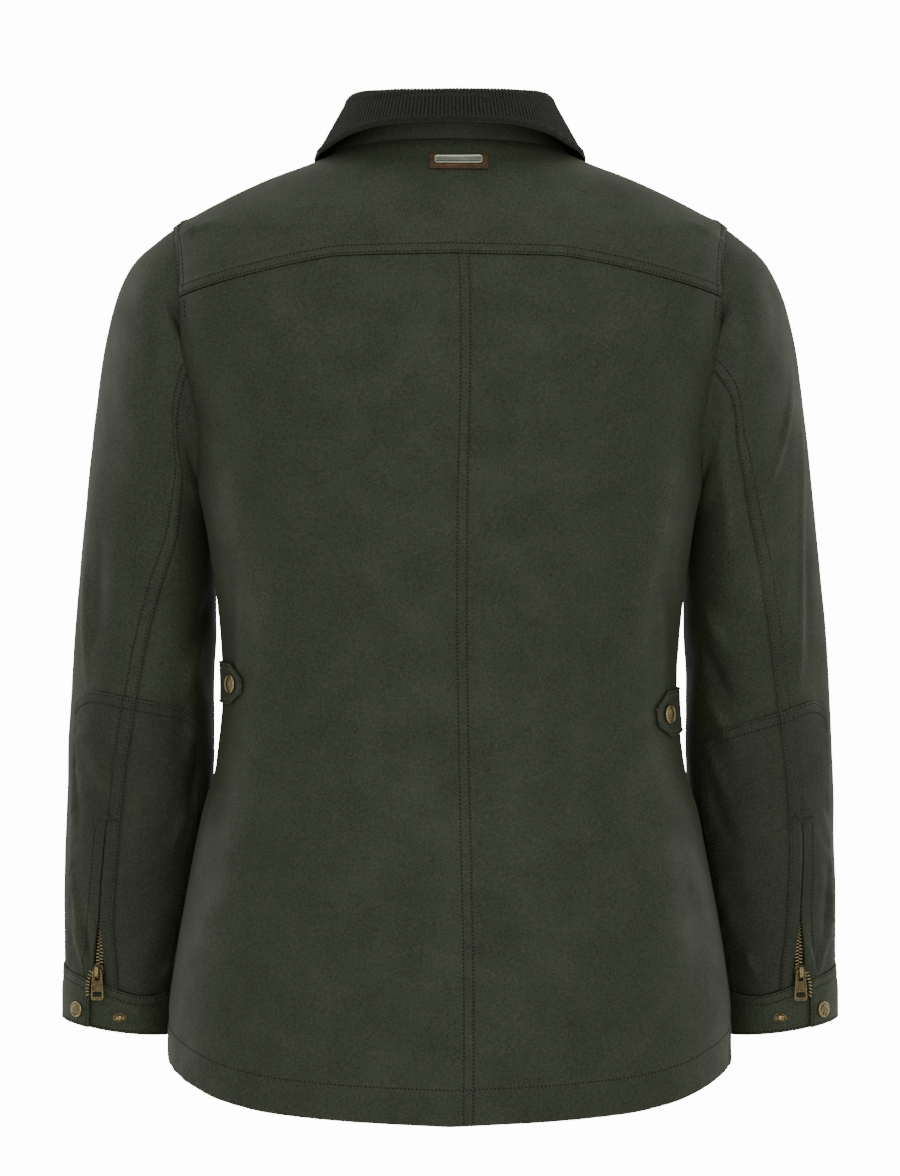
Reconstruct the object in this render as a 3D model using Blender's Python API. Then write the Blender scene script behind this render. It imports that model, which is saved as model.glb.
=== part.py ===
"""A waxed cotton jacket, filled out as it is worn, with no wearer in it.

Metres, +Z up. The origin lies between the shoulders at the height of the neck seam, where the wearer
carries the jacket. The back faces +Y and the wearer's left is +X. Every piece of cloth is a wall on one
of three surfaces, the body, a sleeve or the collar, and each surface is worked out from a short table
of sections whose sizes are in millimetres.
"""

import bisect
import math

import bmesh
import bpy
from collections import namedtuple
from mathutils import Matrix, Vector

MM = 0.001
SIDES = {"left": 1, "right": -1}

# Cloth
SHELL_THICKNESS = 1.4 * MM
CUFF_THICKNESS = 2.2 * MM
PATCH_THICKNESS = 1.1 * MM
TAB_THICKNESS = 1.8 * MM
TAPE_THICKNESS = 1.0 * MM
LEATHER_THICKNESS = 1.3 * MM
PLATE_THICKNESS = 0.8 * MM
SEAM_GAP = 0.3 * MM

# Body sections, cut level, from the neck down
BodySection = namedtuple("BodySection", "height half_width middle_y back_y front_y square_back square_front")
BODY_SECTIONS = (
    BodySection(16, 60, 0, 64, -48, 2.0, 2.0),
    BodySection(9, 75, 0, 70, -52, 2.0, 2.0),
    BodySection(3, 87, 0, 74, -56, 2.0, 2.0),
    BodySection(-4, 100, 0, 77, -60, 2.0, 2.0),
    BodySection(-10, 114, 0, 80, -62, 2.1, 2.0),
    BodySection(-20, 141, 0, 86, -66, 2.1, 2.0),
    BodySection(-33, 170, 0, 93, -71, 2.2, 2.1),
    BodySection(-50, 203, 0, 101, -77, 2.3, 2.1),
    BodySection(-62, 223, 0, 105, -81, 2.4, 2.2),
    BodySection(-90, 227, 0, 113, -92, 2.7, 2.4),
    BodySection(-120, 229, 0, 119, -103, 2.8, 2.5),
    BodySection(-150, 228, 2, 123, -112, 2.8, 2.5),
    BodySection(-190, 218, 8, 127, -121, 2.7, 2.4),
    BodySection(-225, 207, 15, 128, -126, 2.6, 2.3),
    BodySection(-265, 200, 22, 128, -129, 2.6, 2.2),
    BodySection(-300, 195.5, 24, 127, -129, 2.6, 2.1),
    BodySection(-330, 191, 24, 125, -129, 2.5, 2.1),
    BodySection(-380, 184.5, 20, 121, -125, 2.5, 2.1),
    BodySection(-432, 182, 12, 117, -121, 2.4, 2.1),
    BodySection(-490, 187.5, 8, 120, -120, 2.4, 2.2),
    BodySection(-530, 198.5, 6, 124, -121, 2.4, 2.3),
    BodySection(-570, 207, 4, 129, -123, 2.4, 2.3),
    BodySection(-610, 214.5, 2, 133, -125, 2.4, 2.3),
    BodySection(-650, 221, 0, 136, -127, 2.4, 2.3),
    BodySection(-690, 225.5, 0, 138, -128, 2.4, 2.3),
    BodySection(-730, 225.5, 0, 138, -128, 2.4, 2.3),
    BodySection(-790, 223, 0, 136, -126, 2.4, 2.3),
)

# Level curves round the body: degrees from the centre back, and heights
CurvePoint = namedtuple("CurvePoint", "angle height")
NECK_SEAM = (
    CurvePoint(0, 9), CurvePoint(40, 7.5), CurvePoint(70, 4.5), CurvePoint(90, 0), CurvePoint(120, -18),
    CurvePoint(150, -50), CurvePoint(170, -68), CurvePoint(180, -72),
)
YOKE_SEAM = (
    CurvePoint(0, -83), CurvePoint(38, -85), CurvePoint(50, -91.5), CurvePoint(60, -101),
    CurvePoint(68, -110), CurvePoint(76, -119),
)
HEM = (
    CurvePoint(0, -778.5), CurvePoint(30, -774.5), CurvePoint(50, -768.5), CurvePoint(62, -759.5),
    CurvePoint(72, -746.5), CurvePoint(80, -736), CurvePoint(88, -729.5), CurvePoint(98, -729),
    CurvePoint(110, -740), CurvePoint(130, -756), CurvePoint(150, -764), CurvePoint(180, -766),
)
FRONT_SHOULDER_ANGLE = 99.0
CENTRE_BACK_ANGLE = -8.2
CENTRE_FRONT_ANGLE = 180.0

SideSeamPoint = namedtuple("SideSeamPoint", "height left right")
SIDE_SEAM = (
    SideSeamPoint(-268, 90, 90), SideSeamPoint(-330, 92, 92), SideSeamPoint(-440, 92, 92),
    SideSeamPoint(-600, 92, 86), SideSeamPoint(-790, 92, 85),
)

# Armhole: an oval drawn on the body round the side line, narrower behind and towards its foot
ARMHOLE_TOP = -62.0
ARMHOLE_BOTTOM = -268.0
ARMHOLE_MIDDLE = (ARMHOLE_TOP + ARMHOLE_BOTTOM) / 2
ARMHOLE_REACH = (ARMHOLE_TOP - ARMHOLE_BOTTOM) / 2
ARMHOLE_BACK_ANGLE = 16.0
ARMHOLE_FRONT_ANGLE = 19.0
ARMHOLE_UPPER_SQUARENESS = 2.3
ARMHOLE_LOWER_SQUARENESS = 1.65
ARMHOLE_INSET = 1.1

# Sleeve sections of the left sleeve, from the armhole to the lower edge of the cuff. Each is an oval
# between its outer and inner points; seam_angle is the back seam's place, 90 straight behind.
SleeveSection = namedtuple(
    "SleeveSection",
    "outer_x outer_z inner_x inner_z middle_y half_depth back_drop seam_angle seam_twist")
SLEEVE_SECTIONS = (
    SleeveSection(220, -62, 197, -268, 0, 70, 0, 92, 0),
    SleeveSection(236, -74, 200, -272, -2, 72, 0, 95, 3),
    SleeveSection(254, -90, 200, -276, -6, 74, 0, 97, 6),
    SleeveSection(268.5, -119, 197, -283, -12, 75, 0, 99, 9),
    SleeveSection(278, -157, 193.5, -291, -18, 75, 0, 101, 11),
    SleeveSection(284.5, -203, 191, -304, -26, 74, 0, 97, 12),
    SleeveSection(290, -252, 188.5, -338, -34, 72, 0, 91, 12),
    SleeveSection(296, -312, 188, -382, -39, 69, 0, 81, 9),
    SleeveSection(302, -380, 190, -425, -42, 66, 0, 74, 6.5),
    SleeveSection(306.5, -448, 190, -470, -47, 62, 0, 68, 5),
    SleeveSection(309.5, -508, 191.5, -518, -54, 58, 2, 63, 4.5),
    SleeveSection(311, -556, 197, -566, -61, 54, 5, 62, 3),
    SleeveSection(311.5, -602, 205, -614, -66, 50.5, 8, 64, 0),
    SleeveSection(311.5, -652, 213, -666, -70, 47.5, 12, 67, -1),
    SleeveSection(311, -694.5, 216, -706, -72, 47.5, 8, 68, -1),
)
SLEEVE_END = 13.0
CUFF_END = 14.0
FRONT_SLEEVE_SEAM_ANGLE = 258.0
HEAD_STATION = 0.35
HEAD_START = -2.2
HEAD_RISE = 2.6
ARMHOLE_FADE = 3.0

# Elbow-to-cuff patch: stations of its upper edge at its outer and inner ends, and its side edges
PatchShape = namedtuple("PatchShape", "top_outer top_inner")
PATCH_TOP = {"left": PatchShape(8.70, 8.62), "right": PatchShape(8.80, 9.02)}
PATCH_OUTER_ANGLE = 26.0
PATCH_INNER_ANGLE = 141.0
PATCH_CORNER = 0.22
PATCH_TOP_MIDDLE = 0.35
PATCH_SEAM_ROOM = 0.6 * MM

# Cuff band: its outer lap ends at LAP_ANGLE, its inner end runs on under the lap
LAP_ANGLE = 57.0
LAP_UNDER_ANGLE = 24.0
LAP_FADE_ANGLE = -30.0
CUFF_SNAP_ANGLE = 43.0
CUFF_STUD_ANGLE = 87.0
CUFF_SNAP_STATION = 13.68
CUFF_STUD_STATION = 13.66

# Zips
SeamOpening = namedtuple("SeamOpening", "station half_width")
BACK_SEAM_OPENING = (
    SeamOpening(0.0, 0.5), SeamOpening(3.0, 0.4), SeamOpening(5.0, 0.15), SeamOpening(10.55, 0.15),
    SeamOpening(12.10, 0.2), SeamOpening(12.25, 1.3), SeamOpening(12.40, 2.4), SeamOpening(12.70, 4.5),
    SeamOpening(13.0, 4.8),
)
ZIP_TOP_STATION = 10.45
CHAIN_START_STATION = 12.46
CHAIN_END_STATION = 12.93
CHAIN_HALF_WIDTH = 2.0 * MM
TAPE_HALF_WIDTH = 7.0 * MM
SLIDER_STATION = 12.80
FRONT_ZIP_HALF_OPENING = 3.0 * MM
FRONT_SLIDER_HEIGHT = -84.0

# Waist tabs, on the back panels from the side seam: heights at the seam and at the point
TabShape = namedtuple("TabShape", "seam_top seam_bottom point_top point_bottom point_angle")
WAIST_TABS = {
    "left": TabShape(-408, -441, -411, -444, 71.5),
    "right": TabShape(-429, -464, -434, -471, 70.5),
}

# Label under the neck seam
LABEL_CENTRE_X = -6.4
LABEL_HEIGHT = -10.0
LABEL_SIZE = (46.0, 12.2)
LABEL_PLATE_SIZE = (37.0, 6.8)

# Collar: where its fold and its leaf's edge run, for angles from the centre back
CollarSection = namedtuple(
    "CollarSection", "angle fold_radius fold_height edge_radius edge_height")
COLLAR_SECTIONS = (
    CollarSection(0, 74, 47, 91, 22),
    CollarSection(30, 76, 47, 94, 20),
    CollarSection(50, 78, 47, 99, 13.5),
    CollarSection(70, 80, 45.2, 103, 2.5),
    CollarSection(90, 80, 38, 106, -5),
    CollarSection(115, 79, 18, 112, -22),
    CollarSection(140, 84, -5, 105, -52),
    CollarSection(160, 89, -27, 108, -92),
    CollarSection(176, 93, -40, 110, -103),
)
COLLAR_STAND_END = 177.0
COLLAR_POINT_END = 158.0
COLLAR_FOLD_RADIUS = 3.6 * MM
COLLAR_CLEARANCE = 2.6

# Largest soft folds: where each runs and how far it stands out
BodyFold = namedtuple("BodyFold", "angle height lean half_width half_length rise")
BODY_FOLDS = (
    BodyFold(66, -350, 4, 13, 75, 3.0),
    BodyFold(-64, -360, -5, 14, 80, 3.2),
    BodyFold(48, -500, -6, 16, 70, 2.4),
    BodyFold(-50, -520, 8, 16, 80, 2.6),
    BodyFold(74, -540, 3, 15, 75, -2.8),
    BodyFold(-72, -600, -2, 16, 90, -3.0),
    BodyFold(24, -690, -8, 22, 90, 2.4),
    BodyFold(-22, -700, 6, 24, 95, 2.2),
    BodyFold(125, -480, 10, 20, 130, 3.0),
    BodyFold(-128, -460, -8, 20, 130, 2.8),
    BodyFold(152, -620, 6, 22, 110, -2.4),
    BodyFold(-150, -600, -7, 22, 110, -2.6),
)
SleeveFold = namedtuple("SleeveFold", "angle station lean half_width half_length rise")
SLEEVE_FOLDS = {
    "left": (
        SleeveFold(30, 6.6, -6, 12, 2.6, 2.2),
        SleeveFold(138, 8.3, 20, 13, 1.3, 2.4),
        SleeveFold(146, 10.2, -24, 13, 1.3, 2.2),
        SleeveFold(12, 10.6, 10, 11, 1.3, -2.0),
        SleeveFold(128, 11.9, -14, 13, 1.0, 1.8),
        SleeveFold(235, 9.0, 24, 14, 1.3, 2.4),
        SleeveFold(290, 9.8, -20, 13, 1.3, -2.2),
    ),
    "right": (
        SleeveFold(36, 5.6, -8, 12, 2.4, 2.6),
        SleeveFold(20, 8.6, 4, 12, 2.2, 2.2),
        SleeveFold(140, 7.9, 22, 13, 1.3, 2.4),
        SleeveFold(148, 9.9, -22, 13, 1.3, 2.2),
        SleeveFold(10, 11.3, 8, 11, 1.2, -1.8),
        SleeveFold(230, 9.1, 22, 14, 1.3, 2.4),
        SleeveFold(292, 9.7, -18, 13, 1.3, -2.2),
    ),
}

# How far laid-on pieces stand off what they lie on
PATCH_LIFT = 0.9 * MM
PATCH_END = 12.97
TAB_LIFT = 0.9 * MM
TAB_CORNER_SHARE = 0.72
TAB_TOP_CUT = 9.0
TAB_BOTTOM_CUT = 6.0
TAB_SEAM_INSET = 0.6
TAB_SNAP_SHARE = 0.74
LABEL_LIFT = 0.5 * MM
LAP_LIFT = 3.0 * MM
CUFF_START = 13.008
TAPE_CLEARANCE = 0.8 * MM
CHAIN_SINK = 0.2 * MM

# Grids
YOKE_CORNER_ANGLE = 75.2
PANEL_ARMHOLE_SHARE = 0.7
PANEL_LOWER_ROWS = 15
PANEL_COLUMNS = 11
BACK_UPPER_ROWS = (0.0, 0.025, 0.07, 0.14, 0.24, 0.38, 0.54, 0.7, 0.85, 1.0)
FRONT_UPPER_ROWS = (0.0, 0.014, 0.04, 0.08, 0.14, 0.22, 0.32, 0.43, 0.54, 0.62, 0.69, 0.749, 0.83, 0.915,
                    1.0)
SLEEVE_STATIONS = (0.0, 0.35, 0.8, 1.4, 2.2, 3.0, 4.0, 5.0, 6.0, 7.0, 8.0, 8.8, 9.5, 10.2, 10.9, 11.6, 12.1,
                   12.4, 12.7, 13.0)

# Hardware
CAP_PROFILE = ((0, 0), (6.1, 0), (6.6, 0.6), (6.3, 1.5), (5.2, 1.9), (4.9, 1.7), (3.0, 2.2), (0, 2.5))
STUD_PROFILE = ((0, 0), (6.0, 0), (6.0, 0.5), (5.2, 0.9), (3.2, 0.6), (2.0, 0.7), (1.9, 2.2), (1.3, 2.6),
                (0, 2.6))
TURNED_STEPS = 14
SLIDER_HEIGHT = 2.1
SLIDER_LIFT = 0.1
AXIS_OVER_SLIDER = 1.5
BRIDGE_WIDTH = 3.2
BRIDGE_INSIDE = ((-2.6, -0.5), (-2.5, 1.8), (-1.8, 2.6), (4.4, 2.6), (5.3, 1.7), (5.3, -0.5))
BRIDGE_OUTSIDE = ((-3.6, -0.5), (-3.4, 2.2), (-2.2, 3.5), (4.8, 3.5), (6.3, 2.0), (6.3, -0.5))
SLIDER_OUTLINE = ((-2.6, -4.2), (2.6, -4.2), (4.0, -2.0), (4.0, 4.5), (3.2, 6.8), (-3.2, 6.8), (-4.0, 4.5),
                  (-4.0, -2.0))
PULL_THICKNESS = 1.2
PULL_LENGTH = 25.0
PULL_TOP_HALF_WIDTH = 4.0
PULL_FOOT_HALF_WIDTH = 5.9
PULL_SLOT = (2.2, 0.7, 8.6)
PULL_WINDOW = (4.2, 17.4, 21.8)

# Finishes: base colour, metallic, roughness
FINISHES = {
    "waxed_cotton": ((0.040, 0.048, 0.030, 1.0), 0.0, 0.55),
    "cord": ((0.020, 0.022, 0.017, 1.0), 0.0, 0.85),
    "leather": ((0.110, 0.058, 0.024, 1.0), 0.0, 0.60),
    "brass": ((0.300, 0.210, 0.090, 1.0), 1.0, 0.38),
    "nickel": ((0.480, 0.500, 0.460, 1.0), 1.0, 0.35),
    "zip_tape": ((0.016, 0.018, 0.014, 1.0), 0.0, 0.80),
}


class Smooth:
    """A smooth curve through rows of a table that keeps to each pair of neighbours' range."""

    def __init__(self, keys, values):
        ordered = sorted(zip(keys, values))
        self.keys = [key for key, value in ordered]
        self.values = [value for key, value in ordered]
        steps = [
            (self.values[i + 1] - self.values[i]) / (self.keys[i + 1] - self.keys[i])
            for i in range(len(self.keys) - 1)
        ]
        inner = [
            2.0 * before * after / (before + after) if before * after > 0.0 else 0.0
            for before, after in zip(steps, steps[1:])
        ]
        self.slopes = [steps[0]] + inner + [steps[-1]]

    def __call__(self, key):
        key = min(max(key, self.keys[0]), self.keys[-1])
        i = min(max(bisect.bisect_right(self.keys, key) - 1, 0), len(self.keys) - 2)
        span = self.keys[i + 1] - self.keys[i]
        u = (key - self.keys[i]) / span
        return (
            (2 * u**3 - 3 * u**2 + 1) * self.values[i]
            + (u**3 - 2 * u**2 + u) * span * self.slopes[i]
            + (3 * u**2 - 2 * u**3) * self.values[i + 1]
            + (u**3 - u**2) * span * self.slopes[i + 1]
        )


def columns_of(rows, key=None):
    """One smooth curve for each named column, over the column named key or the row's number."""
    keys = [getattr(row, key) if key else number for number, row in enumerate(rows)]
    return {
        field: Smooth(keys, [getattr(row, field) for row in rows])
        for field in rows[0]._fields if field != key
    }


BODY = columns_of(BODY_SECTIONS, "height")
SLEEVE = columns_of(SLEEVE_SECTIONS)
COLLAR = columns_of(COLLAR_SECTIONS, "angle")
NECK = columns_of(NECK_SEAM, "angle")["height"]
YOKE = columns_of(YOKE_SEAM, "angle")["height"]
HEMLINE = columns_of(HEM, "angle")["height"]
SIDE_LINES = columns_of(SIDE_SEAM, "height")
SEAM_OPENING = columns_of(BACK_SEAM_OPENING, "station")["half_width"]


def mix(start, end, share):
    """The value a share of the way from start to end."""
    return start + (end - start) * share


def ease(share):
    """0 to 1 with a level start and end."""
    share = min(max(share, 0.0), 1.0)
    return share * share * (3.0 - 2.0 * share)


def steps_between(start, end, count):
    """count + 1 even fractions from start to end."""
    return [mix(start, end, i / count) for i in range(count + 1)]


def normal_of(surface, s, t, step_s, step_t):
    """Unit normal of a surface of two values, from small steps either way."""
    along = surface(s + step_s, t) - surface(s - step_s, t)
    up = surface(s, t + step_t) - surface(s, t - step_t)
    return along.cross(up).normalized()


# ---------------------------------------------------------------- body surface

def body_radius(angle, height):
    """Distance in mm from a section's middle, for an angle in degrees from the centre back."""
    sine = abs(math.sin(math.radians(angle)))
    cosine = math.cos(math.radians(angle))
    middle = BODY["middle_y"](height)
    if cosine >= 0.0:
        depth = BODY["back_y"](height) - middle
    else:
        depth = middle - BODY["front_y"](height)
    share = ease(0.5 + 2.0 * cosine)
    squareness = mix(BODY["square_front"](height), BODY["square_back"](height), share)
    across = (sine / BODY["half_width"](height)) ** squareness
    through = (abs(cosine) / depth) ** squareness
    return (across + through) ** (-1.0 / squareness)


def body_fold(angle, height, radius):
    """How far the soft folds stand out at a place on the body, in mm."""
    total = 0.0
    for fold in BODY_FOLDS:
        along = (height - fold.height) / fold.half_length
        if abs(along) < 1.0:
            across = math.radians(angle - fold.angle - fold.lean * along) * radius / fold.half_width
            total += fold.rise * math.exp(-across * across) * (1.0 - along * along) ** 2
    return total


def body_point(angle, height):
    """A point on the outside of the body, in metres, for an angle and a height in mm."""
    radius = body_radius(angle, height)
    radius += body_fold(angle, height, radius)
    turn = math.radians(angle)
    middle = BODY["middle_y"](height)
    return Vector((radius * math.sin(turn), middle + radius * math.cos(turn), height)) * MM


def body_normal(angle, height):
    """The outward normal of the body."""
    return -normal_of(body_point, angle, height, 0.2, 0.4)


def body_degrees(angle, height, distance):
    """The angle that a distance in metres along a level line spans on the body."""
    step = (body_point(angle + 0.5, height) - body_point(angle - 0.5, height)).length
    return distance / step


def armhole_angle(height, half_angle):
    """How far the armhole reaches to one side of the side line at a height, in degrees."""
    squareness = ARMHOLE_UPPER_SQUARENESS if height > ARMHOLE_MIDDLE else ARMHOLE_LOWER_SQUARENESS
    share = min(abs(height - ARMHOLE_MIDDLE) / ARMHOLE_REACH, 1.0)
    return half_angle * (1.0 - share**squareness) ** (1.0 / squareness)


def armhole_top(angle):
    """Height of the armhole's upper edge at an angle from the centre back."""
    half_angle = ARMHOLE_BACK_ANGLE if angle < 90.0 else ARMHOLE_FRONT_ANGLE
    share = min(abs(angle - 90.0) / half_angle, 1.0)
    rise = (1.0 - share**ARMHOLE_UPPER_SQUARENESS) ** (1.0 / ARMHOLE_UPPER_SQUARENESS)
    return ARMHOLE_MIDDLE + ARMHOLE_REACH * rise


def armhole_point(turn, rise):
    """A point just inside the left armhole's edge, rise mm off the body's surface.

    turn is 0 at the shoulder, 90 behind and 180 underneath.
    """
    sine = math.sin(math.radians(turn))
    cosine = math.cos(math.radians(turn))
    power = 2.0 / (ARMHOLE_UPPER_SQUARENESS if cosine > 0.0 else ARMHOLE_LOWER_SQUARENESS)
    half_angle = ARMHOLE_BACK_ANGLE if sine > 0.0 else ARMHOLE_FRONT_ANGLE
    height = ARMHOLE_MIDDLE + (ARMHOLE_REACH - ARMHOLE_INSET) * math.copysign(abs(cosine) ** power, cosine)
    angle = 90.0 - (half_angle - ARMHOLE_INSET / 3.5) * math.copysign(abs(sine) ** power, sine)
    return body_point(angle, height) + body_normal(angle, height) * rise * MM


# ---------------------------------------------------------------- sleeve surface

def sleeve_fold(side, turn, station, radius):
    """How far the soft folds stand out at a place on a sleeve, in mm."""
    total = 0.0
    for fold in SLEEVE_FOLDS[side]:
        along = (station - fold.station) / fold.half_length
        if abs(along) < 1.0:
            apart = (turn - fold.angle - fold.lean * along + 180.0) % 360.0 - 180.0
            across = math.radians(apart) * radius / fold.half_width
            total += fold.rise * math.exp(-across * across) * (1.0 - along * along) ** 2
    return total


def sleeve_section_point(turn, station):
    """A point of the left sleeve's plain section, before the armhole and the folds shape it."""
    outer = Vector((SLEEVE["outer_x"](station), 0.0, SLEEVE["outer_z"](station)))
    inner = Vector((SLEEVE["inner_x"](station), 0.0, SLEEVE["inner_z"](station)))
    sine = math.sin(math.radians(turn))
    cosine = math.cos(math.radians(turn))
    point = (outer + inner) / 2 + (outer - inner) / 2 * cosine
    point.y = SLEEVE["middle_y"](station) + SLEEVE["half_depth"](station) * sine
    point.z -= SLEEVE["back_drop"](station) * sine
    return point * MM


def sleeve_point(side, turn, station):
    """A point on the outside of a sleeve; turn is 0 on its outer edge and 90 straight behind."""
    if station < HEAD_STATION:
        point = armhole_point(turn, mix(HEAD_START, HEAD_RISE, station / HEAD_STATION))
    else:
        point = sleeve_section_point(turn, station)
        fade = 1.0 - ease((station - HEAD_STATION) / (ARMHOLE_FADE - HEAD_STATION))
        if fade > 0.0:
            point += (armhole_point(turn, HEAD_RISE) - sleeve_section_point(turn, HEAD_STATION)) * fade
    middle = (sleeve_section_point(0.0, station) + sleeve_section_point(180.0, station)) / 2
    outward = point - middle
    point += outward.normalized() * sleeve_fold(side, turn, station, 50.0) * MM
    return Vector((point.x * SIDES[side], point.y, point.z))


def sleeve_normal(side, turn, station):
    """The outward normal of a sleeve."""
    low = max(station - 0.02, 0.0)
    around = sleeve_point(side, turn + 0.5, station) - sleeve_point(side, turn - 0.5, station)
    down = sleeve_point(side, turn, station + 0.02) - sleeve_point(side, turn, low)
    return around.cross(down).normalized() * -SIDES[side]


def sleeve_degrees(side, turn, station, distance):
    """The angle that a distance in metres round a sleeve spans."""
    step = (sleeve_point(side, turn + 1.0, station) - sleeve_point(side, turn - 1.0, station)).length
    return 2.0 * distance / step


def back_seam_angle(side, station):
    """Where a sleeve's back seam and cuff zip run."""
    return SLEEVE["seam_angle"](station) + SIDES[side] * SLEEVE["seam_twist"](station)


def seam_half_gap(station):
    """Half the gap between the two sleeve pieces at the back seam, wider where the zip opens."""
    return SEAM_OPENING(station) * MM


# ---------------------------------------------------------------- collar surface

def clear_of_body(point, angle, clearance):
    """The point, moved out where it would lie closer to the body than clearance in mm."""
    height = point.z / MM
    normal = body_normal(angle, height)
    outward = Vector((math.sin(math.radians(angle)), math.cos(math.radians(angle)), 0.0))
    apart = (point.dot(outward) / MM - body_radius(angle, height)) * normal.dot(outward)
    over = clearance - apart
    push = (over + math.sqrt(over * over + 4.0)) / 2.0
    return point + normal * push * MM


def collar_point(share, across):
    """A point between the collar's two layers.

    share runs from -1 to 1 round the neck, and across from 0 at the neck seam over the fold to 1 at
    the leaf's edge.
    """
    end = mix(COLLAR_STAND_END, COLLAR_POINT_END, ease((across - 0.45) / 0.55))
    angle = abs(share) * end
    turn = math.radians(angle)
    outward = Vector((math.sin(turn), math.cos(turn), 0.0))
    seam = body_point(angle, NECK(angle)) + Vector((0.0, 0.0, 0.6 * MM))
    fold = outward * COLLAR["fold_radius"](angle) * MM
    fold.z = COLLAR["fold_height"](angle) * MM
    edge = outward * COLLAR["edge_radius"](angle) * MM
    edge.z = COLLAR["edge_height"](angle) * MM
    inner_top = fold - outward * COLLAR_FOLD_RADIUS - Vector((0.0, 0.0, 1.4 * COLLAR_FOLD_RADIUS))
    outer_top = fold + outward * COLLAR_FOLD_RADIUS - Vector((0.0, 0.0, 1.4 * COLLAR_FOLD_RADIUS))
    if across < 0.40:
        point = seam.lerp(inner_top, across / 0.40)
    elif across < 0.52:
        swing = math.pi * (across - 0.40) / 0.12
        middle = (inner_top + outer_top) / 2
        point = middle - outward * COLLAR_FOLD_RADIUS * math.cos(swing)
        point.z += 1.4 * COLLAR_FOLD_RADIUS * math.sin(swing)
    else:
        u = (across - 0.52) / 0.48
        belly = outer_top.lerp(edge, 0.5) + Vector((0.0, 0.0, 1.5 * MM))
        point = outer_top * (1 - u) ** 2 + belly * 2 * u * (1 - u) + edge * u**2
        point = clear_of_body(point, angle, COLLAR_CLEARANCE)
    return Vector((math.copysign(point.x, share), point.y, point.z))


def collar_normal(share, across):
    """Normal of the collar, pointing to its cord side."""
    low, high = max(across - 0.01, 0.0), min(across + 0.01, 1.0)
    around = collar_point(share + 0.004, across) - collar_point(share - 0.004, across)
    over = collar_point(share, high) - collar_point(share, low)
    return around.cross(over).normalized()


# ---------------------------------------------------------------- building

def finish(name):
    """The material for one finish."""
    material = bpy.data.materials.get(name) or bpy.data.materials.new(name)
    material.use_nodes = True
    shader = material.node_tree.nodes["Principled BSDF"]
    colour, metallic, roughness = FINISHES[name]
    shader.inputs["Base Color"].default_value = colour
    shader.inputs["Metallic"].default_value = metallic
    shader.inputs["Roughness"].default_value = roughness
    return material


def add_piece(name, mesh_data, finish_name):
    """Turn a bmesh into a named object with its finish."""
    bmesh.ops.recalc_face_normals(mesh_data, faces=mesh_data.faces[:])
    if mesh_data.calc_volume(signed=True) < 0.0:
        bmesh.ops.reverse_faces(mesh_data, faces=mesh_data.faces[:])
    mesh = bpy.data.meshes.new(name)
    mesh_data.to_mesh(mesh)
    mesh_data.free()
    mesh.shade_smooth()
    mesh.set_sharp_from_angle(angle=math.radians(40))
    piece = bpy.data.objects.new(name, mesh)
    piece.data.materials.append(finish(finish_name))
    bpy.context.scene.collection.objects.link(piece)
    return piece


def cloth_wall(name, finish_name, place, columns, rows, thickness, lift, rise=None):
    """A closed wall of cloth over a patch of surface.

    place(s, t) gives a point and an outward normal; columns and rows list the fractions s and t of
    the grid's lines. The inner side lies lift off the surface and the outer side thickness further
    out, plus rise(s, t) where that is given.
    """
    wall = bmesh.new()
    bmesh.ops.create_grid(wall, x_segments=len(columns) - 1, y_segments=len(rows) - 1, size=0.5)
    inner_points = wall.verts[:]
    copied = bmesh.ops.extrude_face_region(wall, geom=wall.faces[:], use_keep_orig=True)["geom"]
    outer_points = [part for part in copied if isinstance(part, bmesh.types.BMVert)]
    for points, is_outer in ((inner_points, False), (outer_points, True)):
        for vertex in points:
            s = columns[round((vertex.co.x + 0.5) * (len(columns) - 1))]
            t = rows[round((vertex.co.y + 0.5) * (len(rows) - 1))]
            point, normal = place(s, t)
            height = lift
            if is_outer:
                height += thickness + (rise(s, t) if rise else 0.0)
            vertex.co = point + normal * height
    return add_piece(name, wall, finish_name)


def body_panel(name, angle_from, angle_to, top_edge, columns, upper_rows):
    """A panel of the body between two side edges, functions of height, and its hem and top edge.

    Rows below the armhole's foot lie at the same heights on every panel, so that the side seams meet.
    """
    def level(angle, t):
        if t < PANEL_ARMHOLE_SHARE:
            return mix(HEMLINE(abs(angle)), ARMHOLE_BOTTOM, t / PANEL_ARMHOLE_SHARE)
        share = (t - PANEL_ARMHOLE_SHARE) / (1.0 - PANEL_ARMHOLE_SHARE)
        return mix(ARMHOLE_BOTTOM, top_edge(angle), share)

    def edge_angle(edge, t):
        angle = edge(ARMHOLE_BOTTOM)
        for _ in range(12):
            angle = edge(level(angle, t))
        return angle

    def place(s, t):
        angle = mix(edge_angle(angle_from, t), edge_angle(angle_to, t), s)
        height = level(angle, t)
        return body_point(angle, height), body_normal(angle, height)

    rows = steps_between(0.0, PANEL_ARMHOLE_SHARE, PANEL_LOWER_ROWS)
    rows += [mix(PANEL_ARMHOLE_SHARE, 1.0, share) for share in upper_rows[1:]]

    return cloth_wall(name, "waxed_cotton", place, columns, rows, SHELL_THICKNESS, -SHELL_THICKNESS)


def side_edge(side, height, is_back):
    """Angle of a panel's outer edge: side seam, armhole and, on the front, the shoulder seam."""
    if height < ARMHOLE_BOTTOM:
        edge = SIDE_LINES[side](height)
    else:
        reach = armhole_angle(height, ARMHOLE_BACK_ANGLE if is_back else ARMHOLE_FRONT_ANGLE)
        edge = 90.0 - reach if is_back else 90.0 + reach
        if not is_back and height > ARMHOLE_MIDDLE:
            edge = max(edge, FRONT_SHOULDER_ANGLE)
    gap = body_degrees(edge, height, SEAM_GAP / 2)
    return SIDES[side] * (edge - gap if is_back else edge + gap)


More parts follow.
